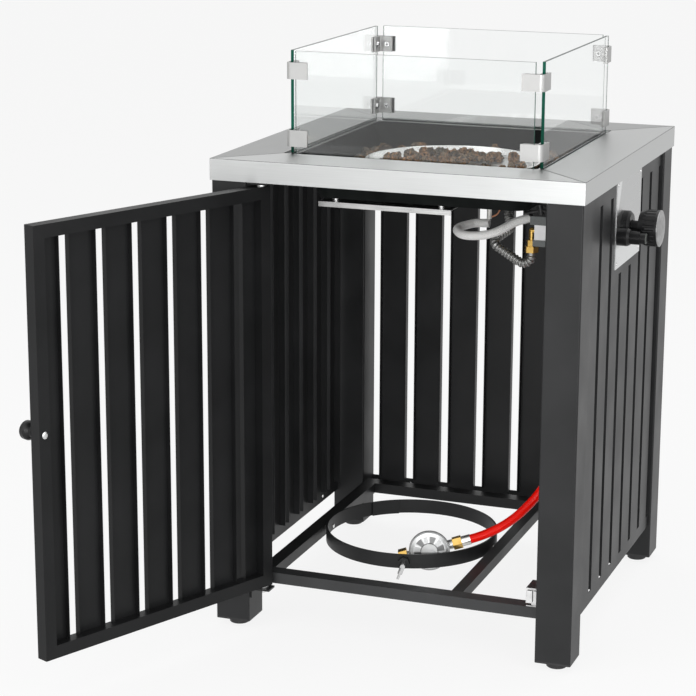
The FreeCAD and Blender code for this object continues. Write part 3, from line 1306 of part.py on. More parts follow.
front_rail = hollow_rail(-BAY, BAY, -BAY - END_RAIL_DEPTH, -BAY)
back_rail = hollow_rail(-BAY, BAY, BAY, BAY + END_RAIL_DEPTH)
left_rail = hollow_rail(-BAY, LEFT_RAIL_INSIDE, -BAY, BAY)
cross_rail = hollow_rail(CROSS_RAIL_LEFT, CROSS_RAIL_LEFT + CROSS_RAIL_WIDTH, -BAY, BAY)
front_pane = make_glass()

parts = {
    "tabletop": make_tabletop(),
    "leg_front_left": make_leg(-1, -1),
    "leg_front_right": make_leg(1, -1),
    "leg_back_left": make_leg(-1, 1),
    "leg_back_right": make_leg(1, 1),
    "feet": group([make_foot(x, y) for x in (-1, 1) for y in (-1, 1)]),
    "top_frame": make_top_frame(),
    "back_panel": make_panel(),
    "left_panel": about_z(make_panel(), 90),
    "right_panel": make_right_panel(),
    "front_rail": front_rail,
    "back_rail": back_rail,
    "left_rail": left_rail,
    "cross_rail": cross_rail,
    "cylinder_ring": make_ring(),
    "clamp_nut": make_clamp_nut(),
    "clamp_screw": make_clamp_screw(),
    "clamp_pad": make_clamp_pad(),
    "frame_screws": make_frame_screws(),
    "hinge_brackets": make_hinge_brackets(),
    "magnet_catch": make_magnet_catch(),
    "door_frame": make_door_frame(),
    "door_slats": make_door_slats(),
    "door_handle": make_door_handle(),
    "door_pins": make_door_pins(),
    "burner_pan": make_pan(),
    "burner_bowl": make_bowl(),
    "burner_plate": make_burner_plate(),
    "burner_tube": make_burner_tube(),
    "inlet_coupling": make_inlet_coupling(),
    "lava_rocks": make_rocks(),
    "heat_shield": make_shield(),
    "shield_studs": make_shield_studs(),
    "control_plate": make_control_plate(),
    "plate_rivets": make_plate_rivets(),
    "knob_bezel": make_bezel(),
    "valve_stem": make_valve_stem(),
    "control_knob": make_knob(),
    "knob_cap": make_knob_cap(),
    "igniter_body": make_igniter_body(),
    "igniter_button": make_button(),
    "valve_bracket": make_valve_bracket(),
    "gas_valve": make_gas_valve(),
    "valve_outlet": make_outlet(),
    "flexible_pipe": make_flexible_pipe(),
    "insulating_sleeve": make_sleeve(),
    "spark_electrode": make_electrode(),
    "thermocouple_lead": make_thermocouple(),
    "regulator_body": make_regulator_body(),
    "regulator_cover": make_regulator_cover(),
    "regulator_nut": make_regulator_nut(),
    "gas_hose": make_hose(),
    "hose_fittings": make_hose_fittings(),
    "glass_front": front_pane,
    "glass_right": about_z(front_pane, 90),
    "glass_back": about_z(front_pane, 180),
    "glass_left": about_z(front_pane, 270),
    "clip_outer_plates": make_clip_outer_plates(),
    "clip_inner_plates": make_clip_inner_plates(),
    "clip_screws": make_clip_screws(),
}

os.makedirs("parts", exist_ok=True)
for name, shape in parts.items():
    if not shape.isValid():
        print("not valid:", name)
    shape.exportStep("parts/" + name + ".step")
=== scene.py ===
import itertools
import math
import random

import bmesh
import bpy
from mathutils import Matrix, Vector, noise


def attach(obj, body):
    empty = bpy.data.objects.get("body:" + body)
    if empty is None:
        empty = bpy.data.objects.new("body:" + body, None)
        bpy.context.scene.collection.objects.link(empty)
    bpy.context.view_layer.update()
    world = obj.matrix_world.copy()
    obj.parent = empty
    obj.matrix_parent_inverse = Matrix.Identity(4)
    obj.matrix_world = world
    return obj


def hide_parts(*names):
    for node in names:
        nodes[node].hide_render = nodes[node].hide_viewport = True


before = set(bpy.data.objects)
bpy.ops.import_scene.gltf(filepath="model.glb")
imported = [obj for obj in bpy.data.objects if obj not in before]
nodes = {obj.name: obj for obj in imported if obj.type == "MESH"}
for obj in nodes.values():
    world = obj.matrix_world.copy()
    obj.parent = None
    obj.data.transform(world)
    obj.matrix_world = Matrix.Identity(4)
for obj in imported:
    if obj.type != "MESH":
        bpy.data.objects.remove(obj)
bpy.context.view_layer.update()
bpy.context.scene.view_settings.view_transform = "Standard"
UP = Vector((0, 0, 1))
WHITE = (1, 1, 1, 1)


def add_object(name, data):
    thing = bpy.data.objects.new(name, data)
    bpy.context.scene.collection.objects.link(thing)
    return thing


# Camera at the photograph's place

CAMERA_PLACE = (1.08856, -3.40106, 1.32941)
CAMERA_AZIMUTH = math.radians(20.474)
CAMERA_ELEVATION = math.radians(14.268)
CAMERA_ROLL = math.radians(0.211)
FOCAL_PIXELS = 2209.66
IMAGE_PIXELS = 696
SENSOR_WIDTH = 36.0


def make_camera():
    """A camera whose axes follow from its azimuth, its elevation and a slight roll."""
    data = bpy.data.cameras.new("camera")
    data.sensor_width = SENSOR_WIDTH
    data.lens = FOCAL_PIXELS / IMAGE_PIXELS * SENSOR_WIDTH
    camera = add_object("camera", data)
    flat = math.cos(CAMERA_ELEVATION)
    back = Vector((math.sin(CAMERA_AZIMUTH) * flat, -math.cos(CAMERA_AZIMUTH) * flat,
                   math.sin(CAMERA_ELEVATION)))
    right = UP.cross(back).normalized()
    up = back.cross(right)
    level_right = right * math.cos(CAMERA_ROLL) + up * math.sin(CAMERA_ROLL)
    level_up = up * math.cos(CAMERA_ROLL) - right * math.sin(CAMERA_ROLL)
    turn = Matrix((level_right, level_up, back)).transposed().to_4x4()
    camera.matrix_world = Matrix.Translation(CAMERA_PLACE) @ turn
    bpy.context.scene.camera = camera


make_camera()


# Gas hose, from the valve down to the regulator

HOSE_DIAMETER = 0.015
HOSE_POINTS = [(0.215, -0.022, 0.594), (0.215, -0.022, 0.526), (0.219, -0.019, 0.44976),
               (0.216, -0.014, 0.35836), (0.200, -0.008, 0.26220), (0.163, -0.014, 0.18604),
               (0.10884, -0.05494, 0.13258), (0.063364, -0.069712, 0.117966)]


def tube_curve(name, points, diameter):
    """A round cord on a smooth route from the first point to the last."""
    data = bpy.data.curves.new(name, "CURVE")
    data.dimensions = "3D"
    data.bevel_depth = 1.0
    data.bevel_resolution = 6
    data.resolution_u = 16
    data.use_fill_caps = True
    spline = data.splines.new("NURBS")
    spline.points.add(len(points) - 1)
    for point, place in zip(spline.points, points):
        point.co = (*place, 1)
        point.radius = diameter / 2
    spline.order_u = 3
    spline.use_endpoint_u = True
    return add_object(name, data)


hose = tube_curve("red_hose", HOSE_POINTS, HOSE_DIAMETER)
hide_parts("gas_hose")
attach(hose, "table")


# What materials are made with. Places in the textures are metres of the frame.

MIX_COLOURS = (6, 7)
MIX_RESULT = 2


class Tree:
    """Nodes with their links, and short ways to add them."""

    def __init__(self, tree):
        self.nodes = tree.nodes
        self.links = tree.links

    def add(self, kind, **settings):
        node = self.nodes.new(kind)
        for key, value in settings.items():
            setattr(node, key, value)
        return node

    def link(self, source, target):
        self.links.new(source, target)

    def math(self, operation, first, second=0.0):
        """Arithmetic on sockets or plain numbers."""
        node = self.add("ShaderNodeMath", operation=operation)
        for socket, value in zip(node.inputs, (first, second)):
            if isinstance(value, (int, float)):
                socket.default_value = value
            else:
                self.link(value, socket)
        return node.outputs[0]


class Finish(Tree):
    """A material, and what it takes to build its textures."""

    def __init__(self, name, **sockets):
        self.material = bpy.data.materials.new(name)
        self.material.use_nodes = True
        super().__init__(self.material.node_tree)
        self.shader = self.nodes["Principled BSDF"]
        self.relief = None
        coordinates = self.add("ShaderNodeTexCoord")
        self.place = coordinates.outputs["Object"]
        self.normal = coordinates.outputs["Normal"]
        for socket, value in sockets.items():
            self.shader.inputs[socket.replace("_", " ")].default_value = value

    # Textures

    def stretched(self, stretch=(1, 1, 1)):
        mapping = self.add("ShaderNodeMapping")
        mapping.inputs["Scale"].default_value = stretch
        self.link(self.place, mapping.inputs["Vector"])
        return mapping.outputs["Vector"]

    def noise(self, scale, detail, stretch=(1, 1, 1)):
        texture = self.add("ShaderNodeTexNoise")
        texture.inputs["Scale"].default_value = scale
        texture.inputs["Detail"].default_value = detail
        self.link(self.stretched(stretch), texture.inputs["Vector"])
        return texture.outputs["Fac"]

    def cells(self, scale):
        texture = self.add("ShaderNodeTexVoronoi")
        texture.inputs["Scale"].default_value = scale
        self.link(self.stretched(), texture.inputs["Vector"])
        return texture.outputs["Distance"]

    # Numbers

    def axis_of(self, vector, axis):
        split = self.add("ShaderNodeSeparateXYZ")
        self.link(vector, split.inputs[0])
        return split.outputs[axis]

    def along(self, vector, way):
        """How far a vector reaches in a given direction."""
        product = self.add("ShaderNodeVectorMath", operation="DOT_PRODUCT")
        self.link(vector, product.inputs[0])
        product.inputs[1].default_value = way
        return product.outputs["Value"]

    def faces(self, axis, limit):
        """One where the surface faces the negative side of an axis more than the limit says."""
        return self.math("LESS_THAN", self.axis_of(self.normal, axis), limit)

    def within(self, value, low, high):
        """One where the value lies between two limits."""
        return self.math("MULTIPLY", self.math("GREATER_THAN", value, low),
                         self.math("LESS_THAN", value, high))

    def between(self, factor, low, high, start=0.3, end=0.7):
        """A number from low to high as the factor goes from start to end."""
        node = self.add("ShaderNodeMapRange")
        self.link(factor, node.inputs["Value"])
        node.inputs["From Min"].default_value = start
        node.inputs["From Max"].default_value = end
        node.inputs["To Min"].default_value = low
        node.inputs["To Max"].default_value = high
        return node.outputs["Result"]

    def choice(self, factor, first, second):
        """The second number where the factor is one, else the first."""
        return self.math("ADD", self.math("MULTIPLY", factor, second),
                         self.math("MULTIPLY", self.math("SUBTRACT", 1.0, factor), first))

    def weighed(self, first, second, share):
        """A sum of two numbers, of which the first has the given share."""
        return self.math("ADD", self.math("MULTIPLY", first, share),
                         self.math("MULTIPLY", second, 1.0 - share))

    # Colours

    def colour(self, factor, stops):
        ramp = self.add("ShaderNodeValToRGB")
        elements = ramp.color_ramp.elements
        while len(elements) < len(stops):
            elements.new(0.5)
        for element, (position, value) in zip(elements, stops):
            element.position = position
            element.color = (*value, 1)
        self.link(factor, ramp.inputs["Fac"])
        return ramp.outputs["Color"]

    def shades(self, factor, dark, light, start=0.3, end=0.7):
        """A colour from dark to light as the factor goes from start to end."""
        return self.colour(factor, [(start, dark), (end, light)])

    def mixed(self, factor, first, second):
        """The second colour where the factor is one, else the first."""
        node = self.add("ShaderNodeMix", data_type="RGBA")
        self.link(factor, node.inputs["Factor"])
        for socket, colour in zip(MIX_COLOURS, (first, second)):
            self.link(colour, node.inputs[socket])
        return node.outputs[MIX_RESULT]

    def grey(self, value, tint):
        """A colour of one value, with a slight tint."""
        join = self.add("ShaderNodeCombineColor")
        for socket, share in zip(join.inputs, tint):
            self.link(self.math("MULTIPLY", value, share), socket)
        return join.outputs[0]

    # The shader's sockets

    def paint(self, colour):
        self.link(colour, self.shader.inputs["Base Color"])

    def rough(self, factor, low, high):
        self.link(self.between(factor, low, high), self.shader.inputs["Roughness"])

    def switch(self, socket, factor, off, on):
        """One value of a socket where the factor is zero, and another where it is one."""
        self.link(self.between(factor, off, on, 0, 1), self.shader.inputs[socket])

    def bump(self, height, distance, strength):
        """Fine relief, on top of the relief that came before."""
        node = self.add("ShaderNodeBump")
        node.inputs["Distance"].default_value = distance
        node.inputs["Strength"].default_value = strength
        self.link(height, node.inputs["Height"])
        if self.relief is not None:
            self.link(self.relief, node.inputs["Normal"])
        self.relief = node.outputs["Normal"]
        self.link(self.relief, self.shader.inputs["Normal"])


# Steel and other metals

BRUSH_STRETCH = 0.012


def brushed_along(finish, lengthwise):
    """Fine lines that run along an axis, 0 for X and 1 for Y."""
    stretch = [1.0, 1.0, 1.0]
    stretch[lengthwise] = BRUSH_STRETCH
    return finish.noise(900, 6, stretch)


# Painted reflection tones for each side of the top and for the front and side rims, lighter or darker
# as each side catches the light.
TOP_REFLECTION_TONES = {"front": 0.465, "right": 0.385, "back": 0.25, "left": 0.27}
RIM_REFLECTION_TONE = 0.55
SIDE_RIM_REFLECTION_TONE = 0.47
# Painted shade on the rounded edge between the top and the rim.
BEND_SHADE_TONE = 0.16
SEAM_SHARE = 0.12
SEAM_WIDTH = 0.0022
BEND_FROM = 0.2
FLAT_FROM = 0.97
SIDE_FROM = 0.5


def make_tabletop_steel():
    """Brushed sheet in four mitred sides whose lines run along each side, each side and rim with its
    own painted reflection tone, and painted shade on the rounded edge between top and rim.
    """
    finish = Finish("tabletop_steel", Metallic=1.0)
    x = finish.axis_of(finish.place, "X")
    y = finish.axis_of(finish.place, "Y")
    across = finish.math("ABSOLUTE", x)
    along = finish.math("ABSOLUTE", y)
    side = finish.math("GREATER_THAN", across, along)
    brushed = finish.choice(side, brushed_along(finish, 0), brushed_along(finish, 1))
    texture = finish.weighed(brushed, finish.noise(7, 3), 0.7)

    ends = finish.choice(finish.math("GREATER_THAN", y), TOP_REFLECTION_TONES["front"], TOP_REFLECTION_TONES["back"])
    sides = finish.choice(finish.math("GREATER_THAN", x), TOP_REFLECTION_TONES["left"], TOP_REFLECTION_TONES["right"])
    off_seam = finish.math("ABSOLUTE", finish.math("SUBTRACT", across, along))
    seam = finish.math("LESS_THAN", off_seam, SEAM_WIDTH)
    sheet = finish.math("MULTIPLY", finish.choice(side, ends, sides),
                        finish.between(seam, 1.0, SEAM_SHARE, 0, 1))

    up = finish.axis_of(finish.normal, "Z")
    flat = finish.math("GREATER_THAN", up, FLAT_FROM)
    shaded_bend = finish.within(up, BEND_FROM, FLAT_FROM)
    right = finish.math("GREATER_THAN", finish.axis_of(finish.normal, "X"), SIDE_FROM)
    rim = finish.choice(right, RIM_REFLECTION_TONE, SIDE_RIM_REFLECTION_TONE)
    value = finish.choice(shaded_bend, finish.choice(flat, rim, sheet), BEND_SHADE_TONE)
    shaded = finish.math("MULTIPLY", value, finish.between(texture, 0.94, 1.06))
    finish.paint(finish.grey(shaded, (0.985, 1.0, 0.995)))
    finish.rough(texture, 0.30, 0.40)
    finish.bump(brushed, 0.00004, 0.5)
    return finish.material


CONTROL_TONE = 0.40
GRAIN_SHARE = 0.12
# Painted reflection: a brighter band towards the plate's front and a brighter strip at its foot.
REFLECTION_BAND_SHARE = 0.22
BAND_SLOPE = 0.42
REFLECTION_BAND_EDGE = -0.349
BAND_BLUR = 0.002
LOW_REFLECTION_EDGE = 0.628
LOW_BLUR = 0.004


def make_control_steel():
    """Brushed plate with a painted reflection that makes it brighter towards its front and its foot."""
    finish = Finish("control_steel", Metallic=1.0)
    fine = brushed_along(finish, 1)
    height = finish.axis_of(finish.place, "Z")
    across = finish.math("SUBTRACT", finish.axis_of(finish.place, "Y"),
                         finish.math("MULTIPLY", height, BAND_SLOPE))
    near = finish.between(across, 1.0, 0.0, REFLECTION_BAND_EDGE - BAND_BLUR, REFLECTION_BAND_EDGE + BAND_BLUR)
    low = finish.between(height, 1.0, 0.0, LOW_REFLECTION_EDGE - LOW_BLUR, LOW_REFLECTION_EDGE + LOW_BLUR)
    bright = finish.math("MULTIPLY", finish.math("MAXIMUM", near, low), REFLECTION_BAND_SHARE)
    tone = finish.math("ADD", bright, finish.math("MULTIPLY", fine, GRAIN_SHARE))
    finish.paint(finish.grey(finish.math("ADD", tone, CONTROL_TONE), (0.99, 1.0, 1.0)))
    finish.rough(fine, 0.26, 0.38)
    finish.bump(fine, 0.00003, 0.6)
    return finish.material


def make_metal(name, dark, light, rough, lines=None, grain=600, relief=0.00003):
    """Sheet or turned metal with a fine grain and soft cloudy stains."""
    finish = Finish(name, Metallic=1.0)
    fine = finish.noise(grain, 5) if lines is None else brushed_along(finish, lines)
    tone = finish.weighed(fine, finish.noise(18, 3), 0.5)
    finish.paint(finish.shades(tone, dark, light, 0.35, 0.65))
    finish.rough(tone, *rough)
    finish.bump(fine, relief, 0.6)
    return finish.material


# Coatings, plastic and rubber

COAT_DARK = (0.0140, 0.0145, 0.0150)
COAT_LIGHT = (0.0220, 0.0225, 0.0235)


def make_powder_coat(name, share, shine):
    """Near-black satin coating with the fine orange peel of sprayed powder and a little dust."""
    finish = Finish(name, Specular_IOR_Level=shine)
    peel = finish.noise(420, 2)
    dust = finish.noise(9, 5)
    # The share scales the coat's colour, and the copies below use it as painted light and shade.
    dark, light = (tuple(share * value for value in tone) for tone in (COAT_DARK, COAT_LIGHT))
    finish.paint(finish.shades(dust, dark, light, 0.35, 0.7))
    finish.rough(dust, 0.36, 0.48)
    finish.bump(peel, 0.00012, 0.35)
    return finish.material


def make_plastic(name, dark, light, rough, shine=0.45):
    """Moulded plastic, or enamel, with a very fine grain."""
    finish = Finish(name, Specular_IOR_Level=shine)
    cloud = finish.noise(30, 3)
    finish.paint(finish.shades(cloud, dark, light))
    finish.rough(cloud, *rough)
    finish.bump(finish.noise(1500, 2), 0.00005, 0.5)
    return finish.material


def make_hose_rubber():
    """Smooth red rubber."""
    finish = Finish("hose_rubber", Specular_IOR_Level=0.12, Coat_Weight=0.05, Coat_Roughness=0.15)
    cloud = finish.noise(40, 3)
    finish.paint(finish.shades(cloud, (0.90, 0.005, 0.001), (0.98, 0.009, 0.003)))
    finish.rough(cloud, 0.26, 0.36)
    finish.bump(finish.noise(700, 2), 0.00004, 0.4)
    return finish.material


BUTTON_HIGHLIGHT_BEVEL = (0.3, 0.95)


def make_button():
    """Smooth black button with a painted highlight: a pale ring where its end is bevelled."""
    finish = Finish("button_plastic", Specular_IOR_Level=0.25)
    highlight_ring = finish.within(finish.axis_of(finish.normal, "X"), *BUTTON_HIGHLIGHT_BEVEL)
    cloud = finish.noise(60, 3)
    black = finish.shades(cloud, (0.005, 0.005, 0.0055), (0.010, 0.010, 0.0105))
    # The pale ring is a painted highlight.
    pale = finish.shades(cloud, (0.045, 0.050, 0.045), (0.080, 0.085, 0.080))
    finish.paint(finish.mixed(highlight_ring, black, pale))
    finish.rough(cloud, 0.26, 0.38)
    finish.bump(finish.noise(1500, 2), 0.00004, 0.4)
    return finish.material


# Glass, stone, ceramic and fibre

GLASS_FOOT = 0.7688
CUT_EDGE = 0.7


def make_glass(name, thin_axis):
    """Clear pane with green upright edges and a grey top and foot. thin_axis is the axis across it."""
    finish = Finish(name, IOR=1.5, Specular_IOR_Level=0.08)
    facing = finish.math("ABSOLUTE", finish.axis_of(finish.normal, thin_axis))
    foot = finish.math("LESS_THAN", finish.axis_of(finish.place, "Z"), GLASS_FOOT)
    edge = finish.math("MAXIMUM", finish.math("LESS_THAN", facing, CUT_EDGE), foot)
    top = finish.math("GREATER_THAN", finish.axis_of(finish.normal, "Z"), CUT_EDGE)
    streak = finish.noise(60, 3, (1, 1, 0.2))
    clear = finish.shades(streak, (0.968, 0.982, 0.978), (0.978, 0.988, 0.985))
    green = finish.shades(streak, (0.002, 0.050, 0.030), (0.006, 0.105, 0.068))
    grey = finish.shades(streak, (0.030, 0.042, 0.038), (0.050, 0.066, 0.060))
    sides = finish.mixed(finish.math("MAXIMUM", top, foot), green, grey)
    finish.paint(finish.mixed(edge, clear, sides))
    finish.switch("Roughness", edge, 0.005, 0.30)
    finish.switch("Transmission Weight", edge, 1.0, 0.0)
    return finish.material


def make_rock():
    """Porous lava, brown and tan lumps among grey ones."""
    finish = Finish("lava_rock", Specular_IOR_Level=0.2)
    lump = finish.noise(24, 2)
    grain = finish.noise(210, 8)
    pores = finish.cells(260)
    base = finish.colour(lump, [(0.34, (0.075, 0.053, 0.034)), (0.44, (0.200, 0.125, 0.066)),
                                (0.52, (0.300, 0.150, 0.062)), (0.58, (0.220, 0.152, 0.088)),
                                (0.66, (0.125, 0.112, 0.088))])
    # dark is painted shade, laid in the low spots of the grain and in the pores, where the bumps below
    # make hollows.
    dark = finish.shades(lump, (0.008, 0.006, 0.004), (0.022, 0.018, 0.014))
    grit = finish.mixed(finish.between(grain, 0.85, 0.0, 0.40, 0.56), base, dark)
    finish.paint(finish.mixed(finish.between(pores, 1.0, 0.0, 0.14, 0.36), grit, dark))
    finish.rough(grain, 0.82, 0.97)
    finish.bump(grain, 0.0022, 0.9)
    finish.bump(finish.between(pores, 0.0, 1.0, 0.05, 0.3), 0.0016, 0.9)
    return finish.material


def make_ceramic():
    """White glazed porcelain."""
    finish = Finish("glazed_ceramic", Specular_IOR_Level=0.5)
    cloud = finish.noise(120, 4)
    finish.paint(finish.shades(cloud, (0.72, 0.71, 0.67), (0.84, 0.83, 0.80)))
    finish.rough(cloud, 0.30, 0.42)
    finish.bump(cloud, 0.0001, 0.4)
    return finish.material


THREAD_TURN = math.radians(40)


def make_woven_fibre():
    """Grey-white glass-fibre braid, drawn by two families of diagonal bands."""
    finish = Finish("woven_fibre", Specular_IOR_Level=0.3, Sheen_Weight=0.25)
    threads = []
    for turn in (THREAD_TURN, -THREAD_TURN):
        mapping = finish.add("ShaderNodeMapping")
        mapping.inputs["Rotation"].default_value = (turn, 0, turn)
        finish.link(finish.place, mapping.inputs["Vector"])
        wave = finish.add("ShaderNodeTexWave", wave_type="BANDS", bands_direction="X")
        wave.inputs["Scale"].default_value = 190
        wave.inputs["Distortion"].default_value = 1.2
        wave.inputs["Detail"].default_value = 1
        finish.link(mapping.outputs["Vector"], wave.inputs["Vector"])
        threads.append(wave.outputs["Fac"])
    weave = finish.math("MAXIMUM", *threads)
    soil = finish.noise(55, 3)
    tone = finish.weighed(weave, soil, 0.45)
    finish.paint(finish.shades(tone, (0.76, 0.755, 0.74), (0.96, 0.955, 0.94), 0.3, 0.75))
    finish.rough(soil, 0.7, 0.9)
    finish.bump(weave, 0.0006, 0.7)
    return finish.material


# Pieces with more than one surface

STRIKE_FACING = -0.5
LABEL_FACING = -0.9


def make_catch():
    """Black case whose front, towards the door, is a bright striking plate."""
    finish = Finish("magnet_catch", Specular_IOR_Level=0.45)
    front = finish.faces("Y", STRIKE_FACING)
    cloud = finish.noise(60, 3)
    black = finish.shades(cloud, (0.012, 0.012, 0.0125), (0.024, 0.024, 0.025))
    bright = finish.shades(cloud, (0.66, 0.66, 0.66), (0.80, 0.80, 0.80))
    finish.paint(finish.mixed(front, black, bright))
    finish.switch("Metallic", front, 0.0, 0.6)
    finish.rough(cloud, 0.38, 0.50)
    finish.bump(finish.noise(1500, 2), 0.00005, 0.5)
    return finish.material


def make_valve_casting():
    """Die-cast body with a plain white label on its front."""
    finish = Finish("valve_casting")
    front = finish.faces("Y", LABEL_FACING)
    cloud = finish.noise(40, 3)
    cast = finish.shades(cloud, (0.16, 0.17, 0.17), (0.26, 0.27, 0.27), 0.35, 0.65)
    label = finish.shades(cloud, (0.92, 0.92, 0.93), (0.96, 0.96, 0.97), 0.35, 0.65)
    finish.paint(finish.mixed(front, cast, label))
    finish.switch("Metallic", front, 1.0, 0.0)
    finish.rough(cloud, 0.40, 0.54)
    finish.bump(finish.noise(1200, 4), 0.00010, 0.4)
    return finish.material


# The regulator faces forwards and a little to the right, and its ports lean up to the right.
REGULATOR_CENTRE = Vector((-0.000301, -0.090398, 0.0975))
REGULATOR_TURN = math.radians(18)
REGULATOR_LEAN = math.radians(17)
REGULATOR_FACING = Vector((math.sin(REGULATOR_TURN), -math.cos(REGULATOR_TURN), 0))
REGULATOR_PORTS = UP.cross(REGULATOR_FACING) * math.cos(REGULATOR_LEAN) + UP * math.sin(REGULATOR_LEAN)
REGULATOR_SIDE = REGULATOR_FACING.cross(REGULATOR_PORTS)
COVER_RISE = 0.004
COVER_CENTRE = REGULATOR_CENTRE + COVER_RISE * REGULATOR_SIDE

# The lower ferrule's ends are measured from the regulator's centre along its ports. The upper one's
# are heights.
LOWER_FERRULE = (0.055, 0.100)
UPPER_FERRULE = (0.300, 0.609)
BRASS_DARK = (0.42, 0.26, 0.06)
BRASS_LIGHT = (0.62, 0.41, 0.13)


def make_hose_fitting():
    """Brass nuts with crimped steel ferrules."""
    finish = Finish("hose_fitting", Metallic=1.0)
    start = REGULATOR_CENTRE.dot(REGULATOR_PORTS)
    lower = finish.within(finish.along(finish.place, REGULATOR_PORTS),
                          *(start + end for end in LOWER_FERRULE))
    upper = finish.within(finish.axis_of(finish.place, "Z"), *UPPER_FERRULE)
    cloud = finish.noise(60, 3)
    yellow = finish.shades(cloud, BRASS_DARK, BRASS_LIGHT, 0.35, 0.65)
    silver = finish.shades(cloud, (0.58, 0.57, 0.54), (0.74, 0.73, 0.70), 0.35, 0.65)
    finish.paint(finish.mixed(finish.math("MAXIMUM", lower, upper), yellow, silver))
    finish.rough(cloud, 0.24, 0.38)
    finish.bump(finish.noise(900, 5), 0.00003, 0.6)
    return finish.material


PETALS = 6


def make_regulator_cover():
    """Bright pressed cover with painted light and shade: a plain middle, raised petals with a painted
    highlight between hollows of painted shade, a groove of painted shade and a rolled rim in painted
    shade.
    """
    finish = Finish("pressed_cover", Metallic=1.0)
    offset = finish.add("ShaderNodeVectorMath", operation="SUBTRACT")
    finish.link(finish.place, offset.inputs[0])
    offset.inputs[1].default_value = COVER_CENTRE
    parts = [finish.along(offset.outputs[0], way) for way in (REGULATOR_PORTS, REGULATOR_SIDE)]
    squares = [finish.math("MULTIPLY", part, part) for part in parts]
    reach = finish.math("SQRT", finish.math("ADD", *squares))
    turn = finish.math("ARCTAN2", parts[1], parts[0])
    wave = finish.math("COSINE", finish.math("MULTIPLY", turn, PETALS))
    shaded_hollow = finish.between(wave, 0.0, 1.0, -0.1, 0.5)
    cloud = finish.noise(60, 3)

    # Painted shade on the rolled rim, in the hollows between the petals and in the groove round the
    # middle; the petals' brightness is a painted highlight.
    rim = 0.30
    shoulder = finish.between(cloud, 0.56, 0.70)
    flat = finish.between(cloud, 0.60, 0.74)
    petals = finish.choice(shaded_hollow, 0.70, 0.20)
    shaded_groove = 0.22
    middle = finish.between(cloud, 0.62, 0.72)
    value = rim
    for radius, inside in ((0.0315, shoulder), (0.0300, flat), (0.0255, petals), (0.0150, shaded_groove),
                           (0.0136, middle)):
        value = finish.choice(finish.math("LESS_THAN", reach, radius), value, inside)
    finish.paint(finish.grey(value, (0.99, 1.0, 1.0)))
    finish.rough(cloud, 0.40, 0.52)
    finish.bump(finish.noise(900, 5), 0.00006, 0.6)
    return finish.material


# Which piece wears which material

brushed_steel = make_metal("brushed_steel_x", (0.46, 0.46, 0.46), (0.68, 0.68, 0.67), (0.24, 0.36),
                           lines=0)
rolled_steel = make_metal("rolled_steel", (0.55, 0.55, 0.54), (0.74, 0.74, 0.73), (0.20, 0.32))
bright_steel = make_metal("bright_steel", (0.58, 0.58, 0.58), (0.76, 0.76, 0.76), (0.22, 0.34),
                          grain=900)
pipe_steel = make_metal("corrugated_steel", (0.26, 0.26, 0.255), (0.42, 0.42, 0.41), (0.42, 0.56),
                        grain=700)
# Galvanised steel darkened by painted shade, as the bracket sits in shade.
shaded_bracket_steel = make_metal("shaded_galvanised_bracket", (0.085, 0.09, 0.09), (0.135, 0.14, 0.14), (0.45, 0.60),
                           grain=700)
cap_steel = make_metal("satin_cap", (0.20, 0.20, 0.20), (0.42, 0.42, 0.42), (0.34, 0.46), grain=120)
satin_nickel = make_metal("satin_nickel", (0.37, 0.37, 0.365), (0.46, 0.46, 0.455), (0.40, 0.52),
                          grain=1400, relief=0.00001)
bright_casting = make_metal("bright_casting", (0.44, 0.45, 0.45), (0.62, 0.62, 0.62), (0.40, 0.52),
                            grain=900, relief=0.00008)
brass = make_metal("turned_brass", BRASS_DARK, BRASS_LIGHT, (0.24, 0.38), grain=900)
dull_brass = make_metal("dull_brass", (0.13, 0.10, 0.05), (0.22, 0.17, 0.09), (0.40, 0.55), grain=900)
copper = make_metal("drawn_copper", (0.45, 0.20, 0.11), (0.66, 0.33, 0.20), (0.28, 0.42), grain=900)
# Copies of one powder coat with painted light and shade: the rail and the beam are brightened where
# they sit in the tabletop's shade, and the door is darkened.
powder_coat = make_powder_coat("powder_coat", 0.90, 0.26)
shaded_door_coat = make_powder_coat("shaded_door_coat", 0.60, 0.15)
lit_rail_coat = make_powder_coat("lit_rail_coat", 1.7, 0.42)
lit_beam_coat = make_powder_coat("lit_beam_coat", 3.6, 0.50)
black_plastic = make_plastic("black_plastic", (0.012, 0.012, 0.0125), (0.022, 0.022, 0.023),
                             (0.40, 0.52))
smooth_plastic = make_plastic("smooth_black_plastic", (0.005, 0.005, 0.0055), (0.010, 0.010, 0.0105),
                              (0.26, 0.38), shine=0.25)
pan_enamel = make_plastic("pan_enamel", (0.005, 0.006, 0.0058), (0.010, 0.0115, 0.011), (0.46, 0.58),
                          shine=0.05)
rock = make_rock()

